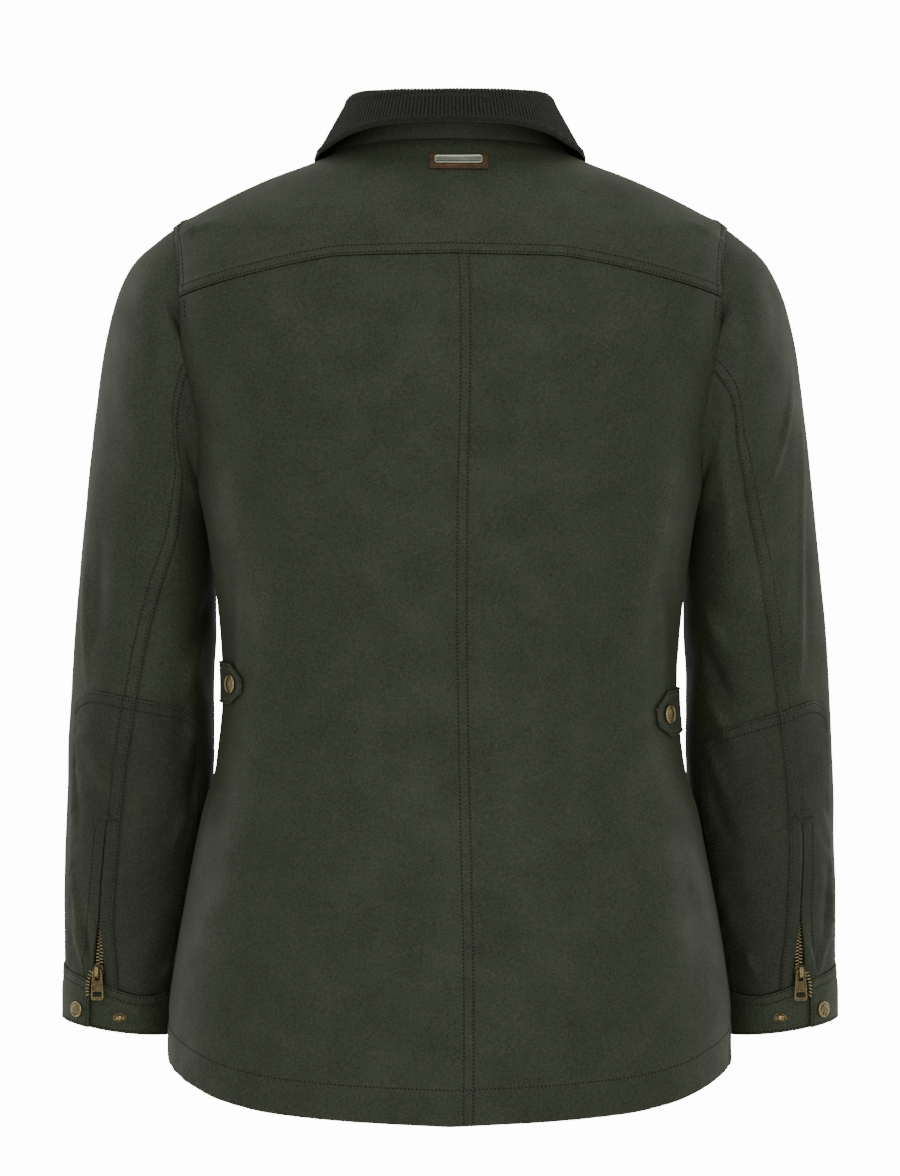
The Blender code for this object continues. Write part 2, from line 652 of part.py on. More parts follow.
def build_backs():
    """The two back panels, either side of the centre back seam."""
    for side in SIDES:
        def middle(height, side=side):
            return CENTRE_BACK_ANGLE + SIDES[side] * body_degrees(0.0, height, SEAM_GAP / 2)

        def outer(height, side=side):
            return side_edge(side, height, True)

        body_panel(f"back_panel_{side}", middle, outer, yoke_edge, steps_between(0.0, 1.0, PANEL_COLUMNS),
                   BACK_UPPER_ROWS)


def build_fronts():
    """The two fronts, from the zip to the side seam, the armhole and the shoulder seam."""
    for side in SIDES:
        def middle(height, side=side):
            gap = body_degrees(CENTRE_FRONT_ANGLE, height, FRONT_ZIP_HALF_OPENING)
            return SIDES[side] * (CENTRE_FRONT_ANGLE - gap)

        def outer(height, side=side):
            return side_edge(side, height, False)

        body_panel(f"front_panel_{side}", middle, outer, neck_edge,
                   [0.0, 0.06] + steps_between(0.16, 1.0, 8), FRONT_UPPER_ROWS)


def neck_edge(angle):
    """Height of the neck seam at an angle."""
    return NECK(abs(angle))


def yoke_edge(angle):
    """Height of the back panels' upper edge at an angle."""
    return YOKE(abs(angle)) - SEAM_GAP / MM


def build_yoke():
    """The yoke, from the back seam over both shoulders to the front shoulder seams."""
    end = FRONT_SHOULDER_ANGLE - body_degrees(90.0, -20.0, SEAM_GAP / 2)
    over_shoulder = [76.8, 79.2, 82.5, 87.0, 93.0, end]
    angles = [-angle for angle in reversed(over_shoulder)]
    angles += steps_between(-YOKE_CORNER_ANGLE, CENTRE_BACK_ANGLE, PANEL_COLUMNS)
    angles += steps_between(CENTRE_BACK_ANGLE, YOKE_CORNER_ANGLE, PANEL_COLUMNS)[1:] + over_shoulder

    def place(s, t):
        angle = mix(-end, end, s)
        lower = max(YOKE(abs(angle)), armhole_top(abs(angle)))
        height = mix(lower, NECK(abs(angle)), t)
        return body_point(angle, height), body_normal(angle, height)

    columns = [(angle + end) / (2 * end) for angle in angles]
    cloth_wall("back_yoke", "waxed_cotton", place, columns, steps_between(0.0, 1.0, 6),
               SHELL_THICKNESS, -SHELL_THICKNESS)


def sleeve_wall(name, side, turns, stations, rows, thickness, lift):
    """A wall on a sleeve; turns(station) lists its grid lines' turns, stations(s) gives its two ends."""
    columns = len(turns(0.0)) - 1

    def place(s, t):
        start, end = stations(s)
        station = mix(start, end, t)
        turn = turns(station)[round(s * columns)]
        return sleeve_point(side, turn, station), sleeve_normal(side, turn, station)

    return cloth_wall(name, "waxed_cotton", place, steps_between(0.0, 1.0, columns), rows, thickness, lift)


def build_sleeves():
    """Each sleeve's outer and inner pieces, and the patches that lie on them over the same grid lines.

    The back seam opens at its foot for the zip. The patches are cut in two along it.
    """
    for side in SIDES:
        def seam_edge(station, sign, room=0.0, side=side):
            seam = back_seam_angle(side, station)
            return seam + sign * sleeve_degrees(side, seam, station, seam_half_gap(station) + room)

        def front_edge(station, sign, side=side):
            seam = FRONT_SLEEVE_SEAM_ANGLE
            return seam + sign * sleeve_degrees(side, seam, station, SEAM_GAP / 2)

        def patch_outer_turns(station, room=PATCH_SEAM_ROOM, seam_edge=seam_edge):
            return steps_between(PATCH_OUTER_ANGLE, seam_edge(station, -1, room), 4)

        def patch_inner_turns(station, room=PATCH_SEAM_ROOM, seam_edge=seam_edge):
            return steps_between(seam_edge(station, 1, room), PATCH_INNER_ANGLE, 6)

        def outer_turns(station, front_edge=front_edge, patch_turns=patch_outer_turns):
            start = front_edge(station, 1) - 360.0
            return steps_between(start, PATCH_OUTER_ANGLE, 8)[:-1] + patch_turns(station, 0.0)

        def inner_turns(station, front_edge=front_edge, patch_turns=patch_inner_turns):
            end = front_edge(station, -1)
            return patch_turns(station, 0.0) + steps_between(PATCH_INNER_ANGLE, end, 5)[1:]

        top = PATCH_TOP[side]
        middle = mix(top.top_outer, top.top_inner, PATCH_TOP_MIDDLE)

        def outer_ends(s, top=top, middle=middle):
            return mix(top.top_outer, middle, s) + PATCH_CORNER * max(0.0, 1.0 - s / 0.5) ** 2, PATCH_END

        def inner_ends(s, top=top, middle=middle):
            return mix(middle, top.top_inner, s) + PATCH_CORNER * max(0.0, s / 0.34 - 1.94) ** 2, PATCH_END

        patch_stations = (middle, *(station for station in SLEEVE_STATIONS[:-1] if station > 9.0), PATCH_END)
        patch_rows = [(station - middle) / (PATCH_END - middle) for station in patch_stations]
        sleeve_rows = [station / SLEEVE_END for station in SLEEVE_STATIONS]
        for part, sleeve_turns, patch_turns, ends in (
                ("outer", outer_turns, patch_outer_turns, outer_ends),
                ("inner", inner_turns, patch_inner_turns, inner_ends)):
            sleeve_wall(f"sleeve_{part}_{side}", side, sleeve_turns, lambda s: (0.0, SLEEVE_END),
                        sleeve_rows, SHELL_THICKNESS, -SHELL_THICKNESS)
            sleeve_wall(f"patch_{part}_{side}", side, patch_turns, ends, patch_rows, PATCH_THICKNESS,
                        PATCH_LIFT)


def build_cuffs():
    """The cuff bands: a strip round the wrist whose outer end laps over its inner end."""
    turns = steps_between(LAP_ANGLE, LAP_FADE_ANGLE, 6)
    turns += steps_between(LAP_FADE_ANGLE, LAP_UNDER_ANGLE - 360.0, 20)[1:]
    first, last = turns[0], turns[-1]
    columns = [(turn - first) / (last - first) for turn in turns]
    for side in SIDES:
        def place(s, t, side=side):
            turn = mix(first, last, s)
            station = mix(CUFF_START, CUFF_END, t)
            lap = LAP_LIFT * ease((turn - LAP_FADE_ANGLE) / (LAP_UNDER_ANGLE - LAP_FADE_ANGLE - 8.0))
            normal = sleeve_normal(side, turn, station)
            return sleeve_point(side, turn, station) + normal * lap, normal

        cloth_wall(f"cuff_{side}", "waxed_cotton", place, columns, [0.0, 0.5, 1.0], CUFF_THICKNESS,
                   -CUFF_THICKNESS)


def build_collar():
    """The cord top collar and the shell-cloth under collar, one inside the other's fold."""
    across = [0.0, 0.2, 0.40, 0.43, 0.46, 0.49, 0.52, 0.76, 1.0]

    def place(s, t):
        share = mix(-1.0, 1.0, s)
        return collar_point(share, t), collar_normal(share, t)

    cloth_wall("collar_top", "cord", place, steps_between(0.0, 1.0, 36), across, SHELL_THICKNESS,
               SEAM_GAP / 2)
    cloth_wall("collar_under", "waxed_cotton", place, steps_between(0.0, 1.0, 36), across,
               SHELL_THICKNESS, -SHELL_THICKNESS - SEAM_GAP / 2)


def build_label():
    """The leather label on the yoke and its bare metal plate."""
    def place_over(width, height):
        def place(s, t):
            level = LABEL_HEIGHT + (t - 0.5) * height
            across = LABEL_CENTRE_X + (s - 0.5) * width
            angle = math.degrees(math.asin(across / body_radius(0.0, level)))
            return body_point(angle, level), body_normal(angle, level)
        return place

    cloth_wall("label_leather", "leather", place_over(*LABEL_SIZE), steps_between(0.0, 1.0, 8),
               steps_between(0.0, 1.0, 2), LEATHER_THICKNESS, LABEL_LIFT)
    cloth_wall("label_plate", "nickel", place_over(*LABEL_PLATE_SIZE), steps_between(0.0, 1.0, 8),
               [0.0, 1.0], PLATE_THICKNESS, LABEL_LIFT + LEATHER_THICKNESS + SEAM_GAP)


def tab_place(side):
    """The waist tab's patch of the back panel: its side seam end to its point."""
    shape = WAIST_TABS[side]

    def place(s, t):
        cut = max(0.0, (s - TAB_CORNER_SHARE) / (1.0 - TAB_CORNER_SHARE))
        low = mix(shape.seam_bottom, shape.point_bottom, s) + TAB_BOTTOM_CUT * cut
        high = mix(shape.seam_top, shape.point_top, s) - TAB_TOP_CUT * cut
        height = mix(low, high, t)
        angle = SIDES[side] * mix(SIDE_LINES[side](height) - TAB_SEAM_INSET, shape.point_angle, s)
        return body_point(angle, height), body_normal(angle, height)

    return place


def build_waist_tabs():
    """The waist tabs with their snap caps."""
    for side in SIDES:
        place = tab_place(side)
        cloth_wall(f"waist_tab_{side}", "waxed_cotton", place,
                   steps_between(0.0, TAB_CORNER_SHARE, 5) + steps_between(TAB_CORNER_SHARE, 1.0, 2)[1:],
                   steps_between(0.0, 1.0, 3), TAB_THICKNESS, TAB_LIFT)
        point, normal = place(TAB_SNAP_SHARE, 0.5)
        turned(f"waist_snap_{side}", "brass", CAP_PROFILE,
               point + normal * (TAB_LIFT + TAB_THICKNESS + SEAM_GAP), normal)


def build_cuff_snaps():
    """The snap caps on the cuffs' laps and the open studs beside them."""
    for side in SIDES:
        normal = sleeve_normal(side, CUFF_SNAP_ANGLE, CUFF_SNAP_STATION)
        point = sleeve_point(side, CUFF_SNAP_ANGLE, CUFF_SNAP_STATION)
        turned(f"cuff_snap_{side}", "brass", CAP_PROFILE, point + normal * (LAP_LIFT + SEAM_GAP), normal)
        normal = sleeve_normal(side, CUFF_STUD_ANGLE, CUFF_STUD_STATION)
        point = sleeve_point(side, CUFF_STUD_ANGLE, CUFF_STUD_STATION)
        turned(f"cuff_stud_{side}", "brass", STUD_PROFILE, point + normal * SEAM_GAP, normal)


def turned(name, finish_name, profile, foot, axis):
    """A solid turned from (radius, height) rows in mm, standing at foot along axis."""
    form = bmesh.new()
    points = [form.verts.new((radius * MM, 0.0, height * MM)) for radius, height in profile]
    edges = [form.edges.new(pair) for pair in zip(points, points[1:])]
    bmesh.ops.spin(form, geom=points + edges, cent=(0, 0, 0), axis=(0, 0, 1), angle=math.tau,
                   steps=TURNED_STEPS, use_merge=True)
    bmesh.ops.remove_doubles(form, verts=form.verts[:], dist=1e-6)
    turn = axis.to_track_quat("Z", "Y").to_matrix().to_4x4()
    bmesh.ops.transform(form, matrix=Matrix.Translation(foot) @ turn, verts=form.verts[:])
    return add_piece(name, form, finish_name)


def frame_of(origin, down, outward):
    """A matrix whose Y runs down a zip, whose Z stands out of the cloth and whose X lies across."""
    out = outward.normalized()
    along = (down - out * down.dot(out)).normalized()
    across = along.cross(out)
    turn = Matrix((across, along, out)).transposed().to_4x4()
    return Matrix.Translation(origin) @ turn


def slab(outline, start, end, lift_axis):
    """A bmesh prism of an outline in mm, from start to end along one axis."""
    form = bmesh.new()
    order = {"z": (0, 1, 2), "x": (2, 0, 1)}[lift_axis]
    corners = []
    for first, second in outline:
        values = (first, second, start)
        corners.append(form.verts.new([values[place] * MM for place in order]))
    face = form.faces.new(corners)
    step = Vector([(0.0, 0.0, (end - start) * MM)[place] for place in order])
    raised = bmesh.ops.extrude_face_region(form, geom=[face], use_keep_orig=True)["geom"]
    bmesh.ops.translate(form, vec=step, verts=[part for part in raised
                                               if isinstance(part, bmesh.types.BMVert)])
    return form


def zip_slider(name, frame):
    """A zip slider: a flat body with a bridge over it for the pull tab."""
    body_form = slab(SLIDER_OUTLINE, 0.0, SLIDER_HEIGHT, "z")
    body = add_piece(name, body_form, "brass")
    bridge_outline = list(BRIDGE_OUTSIDE) + list(reversed(BRIDGE_INSIDE))
    bridge = add_piece(f"{name}_bridge", slab(bridge_outline, -BRIDGE_WIDTH / 2, BRIDGE_WIDTH / 2, "x"),
                       "brass")
    bridge.location = (0.0, 0.0, SLIDER_HEIGHT * MM)
    bridge.parent = body
    bridge.hide_render = True
    bridge.display_type = "WIRE"
    join = body.modifiers.new("bridge", "BOOLEAN")
    join.operation = "UNION"
    join.object = bridge
    body.matrix_world = frame
    return body


def rounded(corners, radius, steps=3):
    """An outline in mm with each corner cut back to an arc."""
    points = []
    count = len(corners)
    for i in range(count):
        before, corner, after = (Vector(corners[(i + j) % count]) for j in (-1, 0, 1))
        start = corner + (before - corner).normalized() * radius
        end = corner + (after - corner).normalized() * radius
        for step in range(steps + 1):
            u = step / steps
            points.append(start * (1 - u) ** 2 + corner * 2 * u * (1 - u) + end * u**2)
    return points


def pull_tab(name, frame):
    """A zip's pull tab: a plate with a slot round the slider's bridge and a window at its foot."""
    slot_half, slot_top, slot_foot = PULL_SLOT
    window_half, window_top, window_foot = PULL_WINDOW
    top = -0.7
    foot = top + PULL_LENGTH
    outline = [(-PULL_TOP_HALF_WIDTH, top), (PULL_TOP_HALF_WIDTH, top), (PULL_FOOT_HALF_WIDTH, foot),
               (-PULL_FOOT_HALF_WIDTH, foot)]
    slot = [(-slot_half, slot_top), (slot_half, slot_top), (slot_half, slot_foot), (-slot_half, slot_foot)]
    window = [(-window_half, window_top), (window_half, window_top), (window_half, window_foot),
              (-window_half, window_foot)]
    curve = bpy.data.curves.new(name, "CURVE")
    curve.dimensions = "2D"
    curve.fill_mode = "BOTH"
    curve.extrude = PULL_THICKNESS / 2 * MM
    for corners, radius in ((outline, 2.4), (slot, 0.8), (window, 1.2)):
        points = rounded(corners, radius)
        spline = curve.splines.new("POLY")
        spline.points.add(len(points) - 1)
        for target, point in zip(spline.points, points):
            target.co = (point.x * MM, point.y * MM, 0.0, 1.0)
        spline.use_cyclic_u = True
    curve.materials.append(finish("brass"))
    tab = bpy.data.objects.new(name, curve)
    bpy.context.scene.collection.objects.link(tab)
    tab.matrix_world = frame
    return tab


def chain_columns():
    """Fractions across a zip's tape, with the chain's two sides."""
    side = CHAIN_HALF_WIDTH / TAPE_HALF_WIDTH / 2
    return [0.0, 0.5 - side - 0.01, 0.5 - side, 0.5 + side, 0.5 + side + 0.01, 1.0]


def on_chain(s):
    """Whether a fraction across the tape lies on the chain."""
    return abs(s - 0.5) * 2 * TAPE_HALF_WIDTH < CHAIN_HALF_WIDTH + 1e-6


def build_cuff_zips():
    """The cuff zips: tape with chain in the back seam's opening, slider and pull tab."""
    stations = [ZIP_TOP_STATION, 10.9, 11.5, 12.0, CHAIN_START_STATION - 0.02, CHAIN_START_STATION, 12.7,
                CHAIN_END_STATION, CHAIN_END_STATION + 0.02]
    span = stations[-1] - stations[0]
    rows = [(station - stations[0]) / span for station in stations]
    for side in SIDES:
        def place(s, t, side=side):
            station = mix(stations[0], stations[-1], t)
            seam = back_seam_angle(side, station)
            turn = seam + sleeve_degrees(side, seam, station, (s - 0.5) * 2 * TAPE_HALF_WIDTH)
            return sleeve_point(side, turn, station), sleeve_normal(side, turn, station)

        def chain(s, t):
            station = mix(stations[0], stations[-1], t)
            inside = CHAIN_START_STATION - 1e-4 < station < CHAIN_END_STATION + 1e-4
            return SHELL_THICKNESS + TAPE_CLEARANCE - CHAIN_SINK if inside and on_chain(s) else 0.0

        cloth_wall(f"cuff_zip_{side}", "zip_tape", place, chain_columns(), rows, TAPE_THICKNESS,
                   -SHELL_THICKNESS - TAPE_CLEARANCE - TAPE_THICKNESS, chain)
        seam = back_seam_angle(side, SLIDER_STATION)
        point = sleeve_point(side, seam, SLIDER_STATION)
        normal = sleeve_normal(side, seam, SLIDER_STATION)
        down = (sleeve_point(side, back_seam_angle(side, SLIDER_STATION + 0.1), SLIDER_STATION + 0.1)
                - sleeve_point(side, back_seam_angle(side, SLIDER_STATION - 0.1), SLIDER_STATION - 0.1))
        zip_slider(f"cuff_slider_{side}", frame_of(point + normal * SLIDER_LIFT * MM, down, normal))
        axis_height = (SLIDER_LIFT + SLIDER_HEIGHT + AXIS_OVER_SLIDER) * MM
        level = Vector((normal.x, normal.y, 0.0))
        pull_tab(f"cuff_pull_{side}", frame_of(point + normal * axis_height, Vector((0, 0, -1)), level))


def build_front_zip():
    """The centre front zip, closed to the neck: tape with chain, slider and pull tab."""
    top = NECK(CENTRE_FRONT_ANGLE) - 1.0
    hem = HEMLINE(CENTRE_FRONT_ANGLE) + 2.0

    def place(s, t):
        height = mix(hem, top, t)
        angle = CENTRE_FRONT_ANGLE + body_degrees(CENTRE_FRONT_ANGLE, height, (s - 0.5) * 2 * TAPE_HALF_WIDTH)
        return body_point(angle, height), body_normal(angle, height)

    def chain(s, t):
        return SHELL_THICKNESS + TAPE_CLEARANCE - CHAIN_SINK if on_chain(s) else 0.0

    cloth_wall("front_zip", "zip_tape", place, chain_columns(), steps_between(0.0, 1.0, 22),
               TAPE_THICKNESS, -SHELL_THICKNESS - TAPE_CLEARANCE - TAPE_THICKNESS, chain)
    point = body_point(CENTRE_FRONT_ANGLE, FRONT_SLIDER_HEIGHT)
    normal = body_normal(CENTRE_FRONT_ANGLE, FRONT_SLIDER_HEIGHT)
    down = (body_point(CENTRE_FRONT_ANGLE, FRONT_SLIDER_HEIGHT - 20.0) - point)
    normal = (normal - down.normalized() * normal.dot(down.normalized())).normalized()
    zip_slider("front_slider", frame_of(point + normal * SLIDER_LIFT * MM, down, normal))
    axis_height = (SLIDER_LIFT + SLIDER_HEIGHT + AXIS_OVER_SLIDER) * MM
    pull_tab("front_pull", frame_of(point + normal * axis_height, down, normal))


def main():
    """Build the jacket."""
    for old in list(bpy.data.objects):
        bpy.data.objects.remove(old)
    build_backs()
    build_fronts()
    build_yoke()
    build_sleeves()
    build_cuffs()
    build_collar()
    build_label()
    build_waist_tabs()
    build_cuff_snaps()
    build_cuff_zips()
    build_front_zip()


main()
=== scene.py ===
"""The looks of a waxed cotton jacket that stands as it is worn, with no wearer in it.

Metres in the meshes, millimetres in the tables, +Z up, the back faces +Y and the wearer's left is +X.
Every piece of cloth is a thin shell on one of three surfaces, the body, a sleeve or the collar, which
are worked out from the same sections as the jacket's solids. Seams, puckers and creases are raised in
the shells, and the sewing lies on them as single stitches.
"""

from __future__ import annotations

import bisect
import logging
import math
from collections.abc import Callable, Sequence
from dataclasses import dataclass, field
from enum import Enum
from typing import NamedTuple

import bmesh
import bpy
from mathutils import Matrix, Vector, noise
from mathutils.bvhtree import BVHTree

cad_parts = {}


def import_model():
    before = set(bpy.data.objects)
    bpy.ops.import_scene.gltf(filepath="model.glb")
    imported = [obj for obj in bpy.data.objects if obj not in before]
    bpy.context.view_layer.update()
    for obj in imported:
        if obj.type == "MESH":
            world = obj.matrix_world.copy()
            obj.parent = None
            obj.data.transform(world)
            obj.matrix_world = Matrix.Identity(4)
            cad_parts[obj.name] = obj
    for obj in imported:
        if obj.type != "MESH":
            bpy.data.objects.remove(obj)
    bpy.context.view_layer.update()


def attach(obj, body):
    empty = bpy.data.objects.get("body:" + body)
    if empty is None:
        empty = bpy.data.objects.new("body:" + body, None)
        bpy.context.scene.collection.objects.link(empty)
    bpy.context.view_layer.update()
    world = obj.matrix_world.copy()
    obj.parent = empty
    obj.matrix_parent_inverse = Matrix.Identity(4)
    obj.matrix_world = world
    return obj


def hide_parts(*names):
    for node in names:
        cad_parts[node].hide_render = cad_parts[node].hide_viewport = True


MM = 0.001
LOG = logging.getLogger("jacket")
BODY_NAME = "jacket"

Material = bpy.types.Material
Tree = bpy.types.NodeTree
Socket = bpy.types.NodeSocket
Shape = bmesh.types.BMesh
Outline = Sequence[tuple[float, ...]]
Line = Callable[[float], float]
Surface = Callable[[float, float], Vector]


class Side(Enum):
    """The wearer's left and right; the value is the sign of X."""

    LEFT = 1
    RIGHT = -1

    @property
    def word(self) -> str:
        """The side's name as the frame's nodes have it."""
        return self.name.lower()


class Edge(Enum):
    """An edge of a piece of cloth, by its grid."""

    START = "start"
    END = "end"
    LOW = "low"
    HIGH = "high"


class Facing(Enum):
    """Which half of the jacket a crease shows on; the value is the sign of the normal's Y."""

    BACK = 1
    FRONT = -1


# ------------------------------------------------------------------ sections of the jacket

class BodySection(NamedTuple):
    """A level section of the body, in mm."""

    height: float
    half_width: float
    middle_y: float
    back_y: float
    front_y: float
    square_back: float
    square_front: float


class CurvePoint(NamedTuple):
    """A point of a line round the body: degrees from the centre back, and mm up."""

    angle: float
    height: float


class SidePoint(NamedTuple):
    """Where both side seams run at a height, in degrees from the centre back."""

    height: float
    left: float
    right: float


class SleeveSection(NamedTuple):
    """An oval section of the left sleeve between its outer and inner points, in mm and degrees."""

    outer_x: float
    outer_z: float
    inner_x: float
    inner_z: float
    middle_y: float
    half_depth: float
    back_drop: float
    seam_angle: float
    seam_twist: float


class SeamOpening(NamedTuple):
    """Half the gap at a sleeve's back seam, in mm, at a station."""

    station: float
    half_width: float


class CollarSection(NamedTuple):
    """Where the collar's fold and its leaf's edge run, at an angle from the centre back."""

    angle: float
    fold_radius: float
    fold_height: float
    edge_radius: float
    edge_height: float


class TabShape(NamedTuple):
    """A waist tab's heights at the side seam and at its tip, and the tip's angle."""

    seam_top: float
    seam_bottom: float
    point_top: float
    point_bottom: float
    point_angle: float


class SoftFold(NamedTuple):
    """A large soft fold: where it runs on its surface and how far it stands out, in mm."""

    angle: float
    place: float
    lean: float
    half_width: float
    half_length: float
    rise: float


class Crease(NamedTuple):
    """A crease as seen from straight behind or in front: its two ends, its bow, its width and rise."""

    x: float
    z: float
    end_x: float
    end_z: float
    bow: float
    width: float
    rise: float
    facing: Facing = Facing.BACK


def rows(kind: type, *values: tuple) -> tuple:
    """The rows of a table, each a record of its kind made from plain values."""
    return tuple(kind(*row) for row in values)


BODY_SECTIONS = rows(
    BodySection,
    (16, 60, 0, 64, -48, 2.0, 2.0), (9, 75, 0, 70, -52, 2.0, 2.0), (3, 87, 0, 74, -56, 2.0, 2.0),
    (-4, 100, 0, 77, -60, 2.0, 2.0), (-10, 114, 0, 80, -62, 2.1, 2.0), (-20, 141, 0, 86, -66, 2.1, 2.0),
    (-33, 170, 0, 93, -71, 2.2, 2.1), (-50, 203, 0, 101, -77, 2.3, 2.1), (-62, 223, 0, 105, -81, 2.4, 2.2),
    (-90, 227, 0, 113, -92, 2.7, 2.4), (-120, 229, 0, 119, -103, 2.8, 2.5),
    (-150, 228, 2, 123, -112, 2.8, 2.5), (-190, 218, 8, 127, -121, 2.7, 2.4),
    (-225, 207, 15, 128, -126, 2.6, 2.3), (-265, 200, 22, 128, -129, 2.6, 2.2),
    (-300, 195.5, 24, 127, -129, 2.6, 2.1), (-330, 191, 24, 125, -129, 2.5, 2.1),
    (-380, 184.5, 20, 121, -125, 2.5, 2.1), (-432, 182, 12, 117, -121, 2.4, 2.1),
    (-490, 187.5, 8, 120, -120, 2.4, 2.2), (-530, 198.5, 6, 124, -121, 2.4, 2.3),
    (-570, 207, 4, 129, -123, 2.4, 2.3), (-610, 214.5, 2, 133, -125, 2.4, 2.3),
    (-650, 221, 0, 136, -127, 2.4, 2.3), (-690, 225.5, 0, 138, -128, 2.4, 2.3),
    (-730, 225.5, 0, 138, -128, 2.4, 2.3), (-790, 223, 0, 136, -126, 2.4, 2.3))
NECK_SEAM = rows(
    CurvePoint,
    (0, 9), (40, 7.5), (70, 4.5), (90, 0), (120, -18), (150, -50), (170, -68), (180, -72))
YOKE_SEAM = rows(
    CurvePoint,
    (0, -83), (38, -85), (50, -91.5), (60, -101), (68, -110), (76, -119))
HEM = rows(
    CurvePoint,
    (0, -778.5), (30, -774.5), (50, -768.5), (62, -759.5), (72, -746.5), (80, -736), (88, -729.5),
    (98, -729), (110, -740), (130, -756), (150, -764), (180, -766))
SIDE_SEAM = rows(
    SidePoint,
    (-268, 90, 90), (-330, 92, 92), (-440, 92, 92), (-600, 92, 86), (-790, 92, 85))
BODY_FOLDS = rows(
    SoftFold,
    (66, -350, 4, 13, 75, 3.0), (-64, -360, -5, 14, 80, 3.2), (48, -500, -6, 16, 70, 2.4),
    (-50, -520, 8, 16, 80, 2.6), (74, -540, 3, 15, 75, -2.8), (-72, -600, -2, 16, 90, -3.0),
    (24, -690, -8, 22, 90, 2.4), (-22, -700, 6, 24, 95, 2.2), (125, -480, 10, 20, 130, 3.0),
    (-128, -460, -8, 20, 130, 2.8), (152, -620, 6, 22, 110, -2.4), (-150, -600, -7, 22, 110, -2.6))
SLEEVE_SECTIONS = rows(
    SleeveSection,
    (220, -62, 197, -268, 0, 70, 0, 92, 0), (236, -74, 200, -272, -2, 72, 0, 95, 3),
    (254, -90, 200, -276, -6, 74, 0, 97, 6), (268.5, -119, 197, -283, -12, 75, 0, 99, 9),
    (278, -157, 193.5, -291, -18, 75, 0, 101, 11), (284.5, -203, 191, -304, -26, 74, 0, 97, 12),
    (290, -252, 188.5, -338, -34, 72, 0, 91, 12), (296, -312, 188, -382, -39, 69, 0, 81, 9),
    (302, -380, 190, -425, -42, 66, 0, 74, 6.5), (306.5, -448, 190, -470, -47, 62, 0, 68, 5),
    (309.5, -508, 191.5, -518, -54, 58, 2, 63, 4.5), (311, -556, 197, -566, -61, 54, 5, 62, 3),
    (311.5, -602, 205, -614, -66, 50.5, 8, 64, 0), (311.5, -652, 213, -666, -70, 47.5, 12, 67, -1),
    (311, -694.5, 216, -706, -72, 47.5, 8, 68, -1))
SLEEVE_FOLDS = {
    Side.LEFT: rows(
        SoftFold,
        (30, 6.6, -6, 12, 2.6, 2.2), (138, 8.3, 20, 13, 1.3, 2.4), (146, 10.2, -24, 13, 1.3, 2.2),
        (12, 10.6, 10, 11, 1.3, -2.0), (128, 11.9, -14, 13, 1.0, 1.8), (235, 9.0, 24, 14, 1.3, 2.4),
        (290, 9.8, -20, 13, 1.3, -2.2)),
    Side.RIGHT: rows(
        SoftFold,
        (36, 5.6, -8, 12, 2.4, 2.6), (20, 8.6, 4, 12, 2.2, 2.2), (140, 7.9, 22, 13, 1.3, 2.4),
        (148, 9.9, -22, 13, 1.3, 2.2), (10, 11.3, 8, 11, 1.2, -1.8), (230, 9.1, 22, 14, 1.3, 2.4),
        (292, 9.7, -18, 13, 1.3, -2.2)),
}
SLEEVE_CREASES = {
    Side.LEFT: rows(
        Crease,
        (226, -119, 211, -156, 1.5, 3.4, -3.0), (291, -296, 292, -432, -2, 2.6, 1.5),
        (284, -530, 259, -533, 0, 1.1, -1.0), (284, -532.5, 259, -535.5, 0, 1.2, 0.8),
        (282, -300, 285, -400, 2, 5, -1.0), (296, -462, 278, -516, 2, 2.4, 1.2),
        (299, -488, 293, -525, -1, 2.2, 1.0), (303, -470, 299, -560, 2, 2.6, -1.0),
        (304, -560, 298, -618, -2, 2.8, 1.1), (301, -600, 291, -657, -1, 2.6, 1.6),
        (305, -612, 293, -660, 1, 2.4, 1.4), (296, -620, 291, -650, 0, 2.2, -1.4),
        (291, -600, 285, -664, 2, 3.0, 1.3), (208, -440, 214, -492, 2, 4, 1.6),
        (204, -470, 216, -545, 3, 4, -1.8), (210, -512, 226, -560, 3, 3.4, 1.5),
        (200, -380, 214, -440, 2, 5, 1.4), (193, -350, 208, -400, 3, 5, -1.6),
        (260, -534, 244, -524, 1, 3, 0.9), (223, -643, 235, -668, 1, 3, 1.3),
        (216, -620, 226, -660, 2, 3, -1.2), (270, -180, 252, -250, 6, 9, 0.9),
        (212, -230, 222, -330, -3, 5, 1.0)),
    Side.RIGHT: rows(
        Crease,
        (-223, -121, -209, -152, -1.5, 3.4, -3.0), (-273, -160, -254, -272, 7.5, 1.8, 1.5),
        (-281, -198, -280, -440, 3, 2.0, 1.6), (-288, -240, -289, -420, -2, 4, -1.1),
        (-266, -539, -291, -540, 0, 1.1, -1.0), (-266, -541.5, -291, -542.5, 0, 1.2, 0.8),
        (-298, -530, -304, -556, 1, 2.6, 1.0), (-306, -560, -297, -655, 5, 3.0, 1.9),
        (-302, -575, -300, -640, 2, 3.0, -1.4), (-289, -640, -291, -675, 1, 2.2, 1.5),
        (-285, -614, -293, -668, -2, 2.4, 1.3), (-300, -640, -291, -672, 1, 2.2, 1.2),
        (-204, -360, -224, -402, -3, 4, 1.5), (-203, -390, -228, -440, -3, 4, -1.7),
        (-206, -430, -230, -476, -3, 4, 1.6), (-208, -470, -226, -520, -2, 3.4, 1.5),
        (-212, -505, -232, -560, -3, 4, -1.3), (-216, -560, -236, -640, -4, 5, 1.0),
        (-238, -640, -250, -668, -1, 3, 1.2), (-262, -300, -246, -380, -5, 8, 0.9),
        (-214, -230, -224, -330, 3, 5, 1.0)),
}
BACK_SEAM_OPENING = rows(
    SeamOpening,
    (0.0, 0.2), (5.0, 0.15), (10.45, 0.15), (10.65, 0.55), (12.0, 0.8), (12.25, 1.7), (12.40, 2.8),
    (12.70, 4.6), (13.0, 4.9))
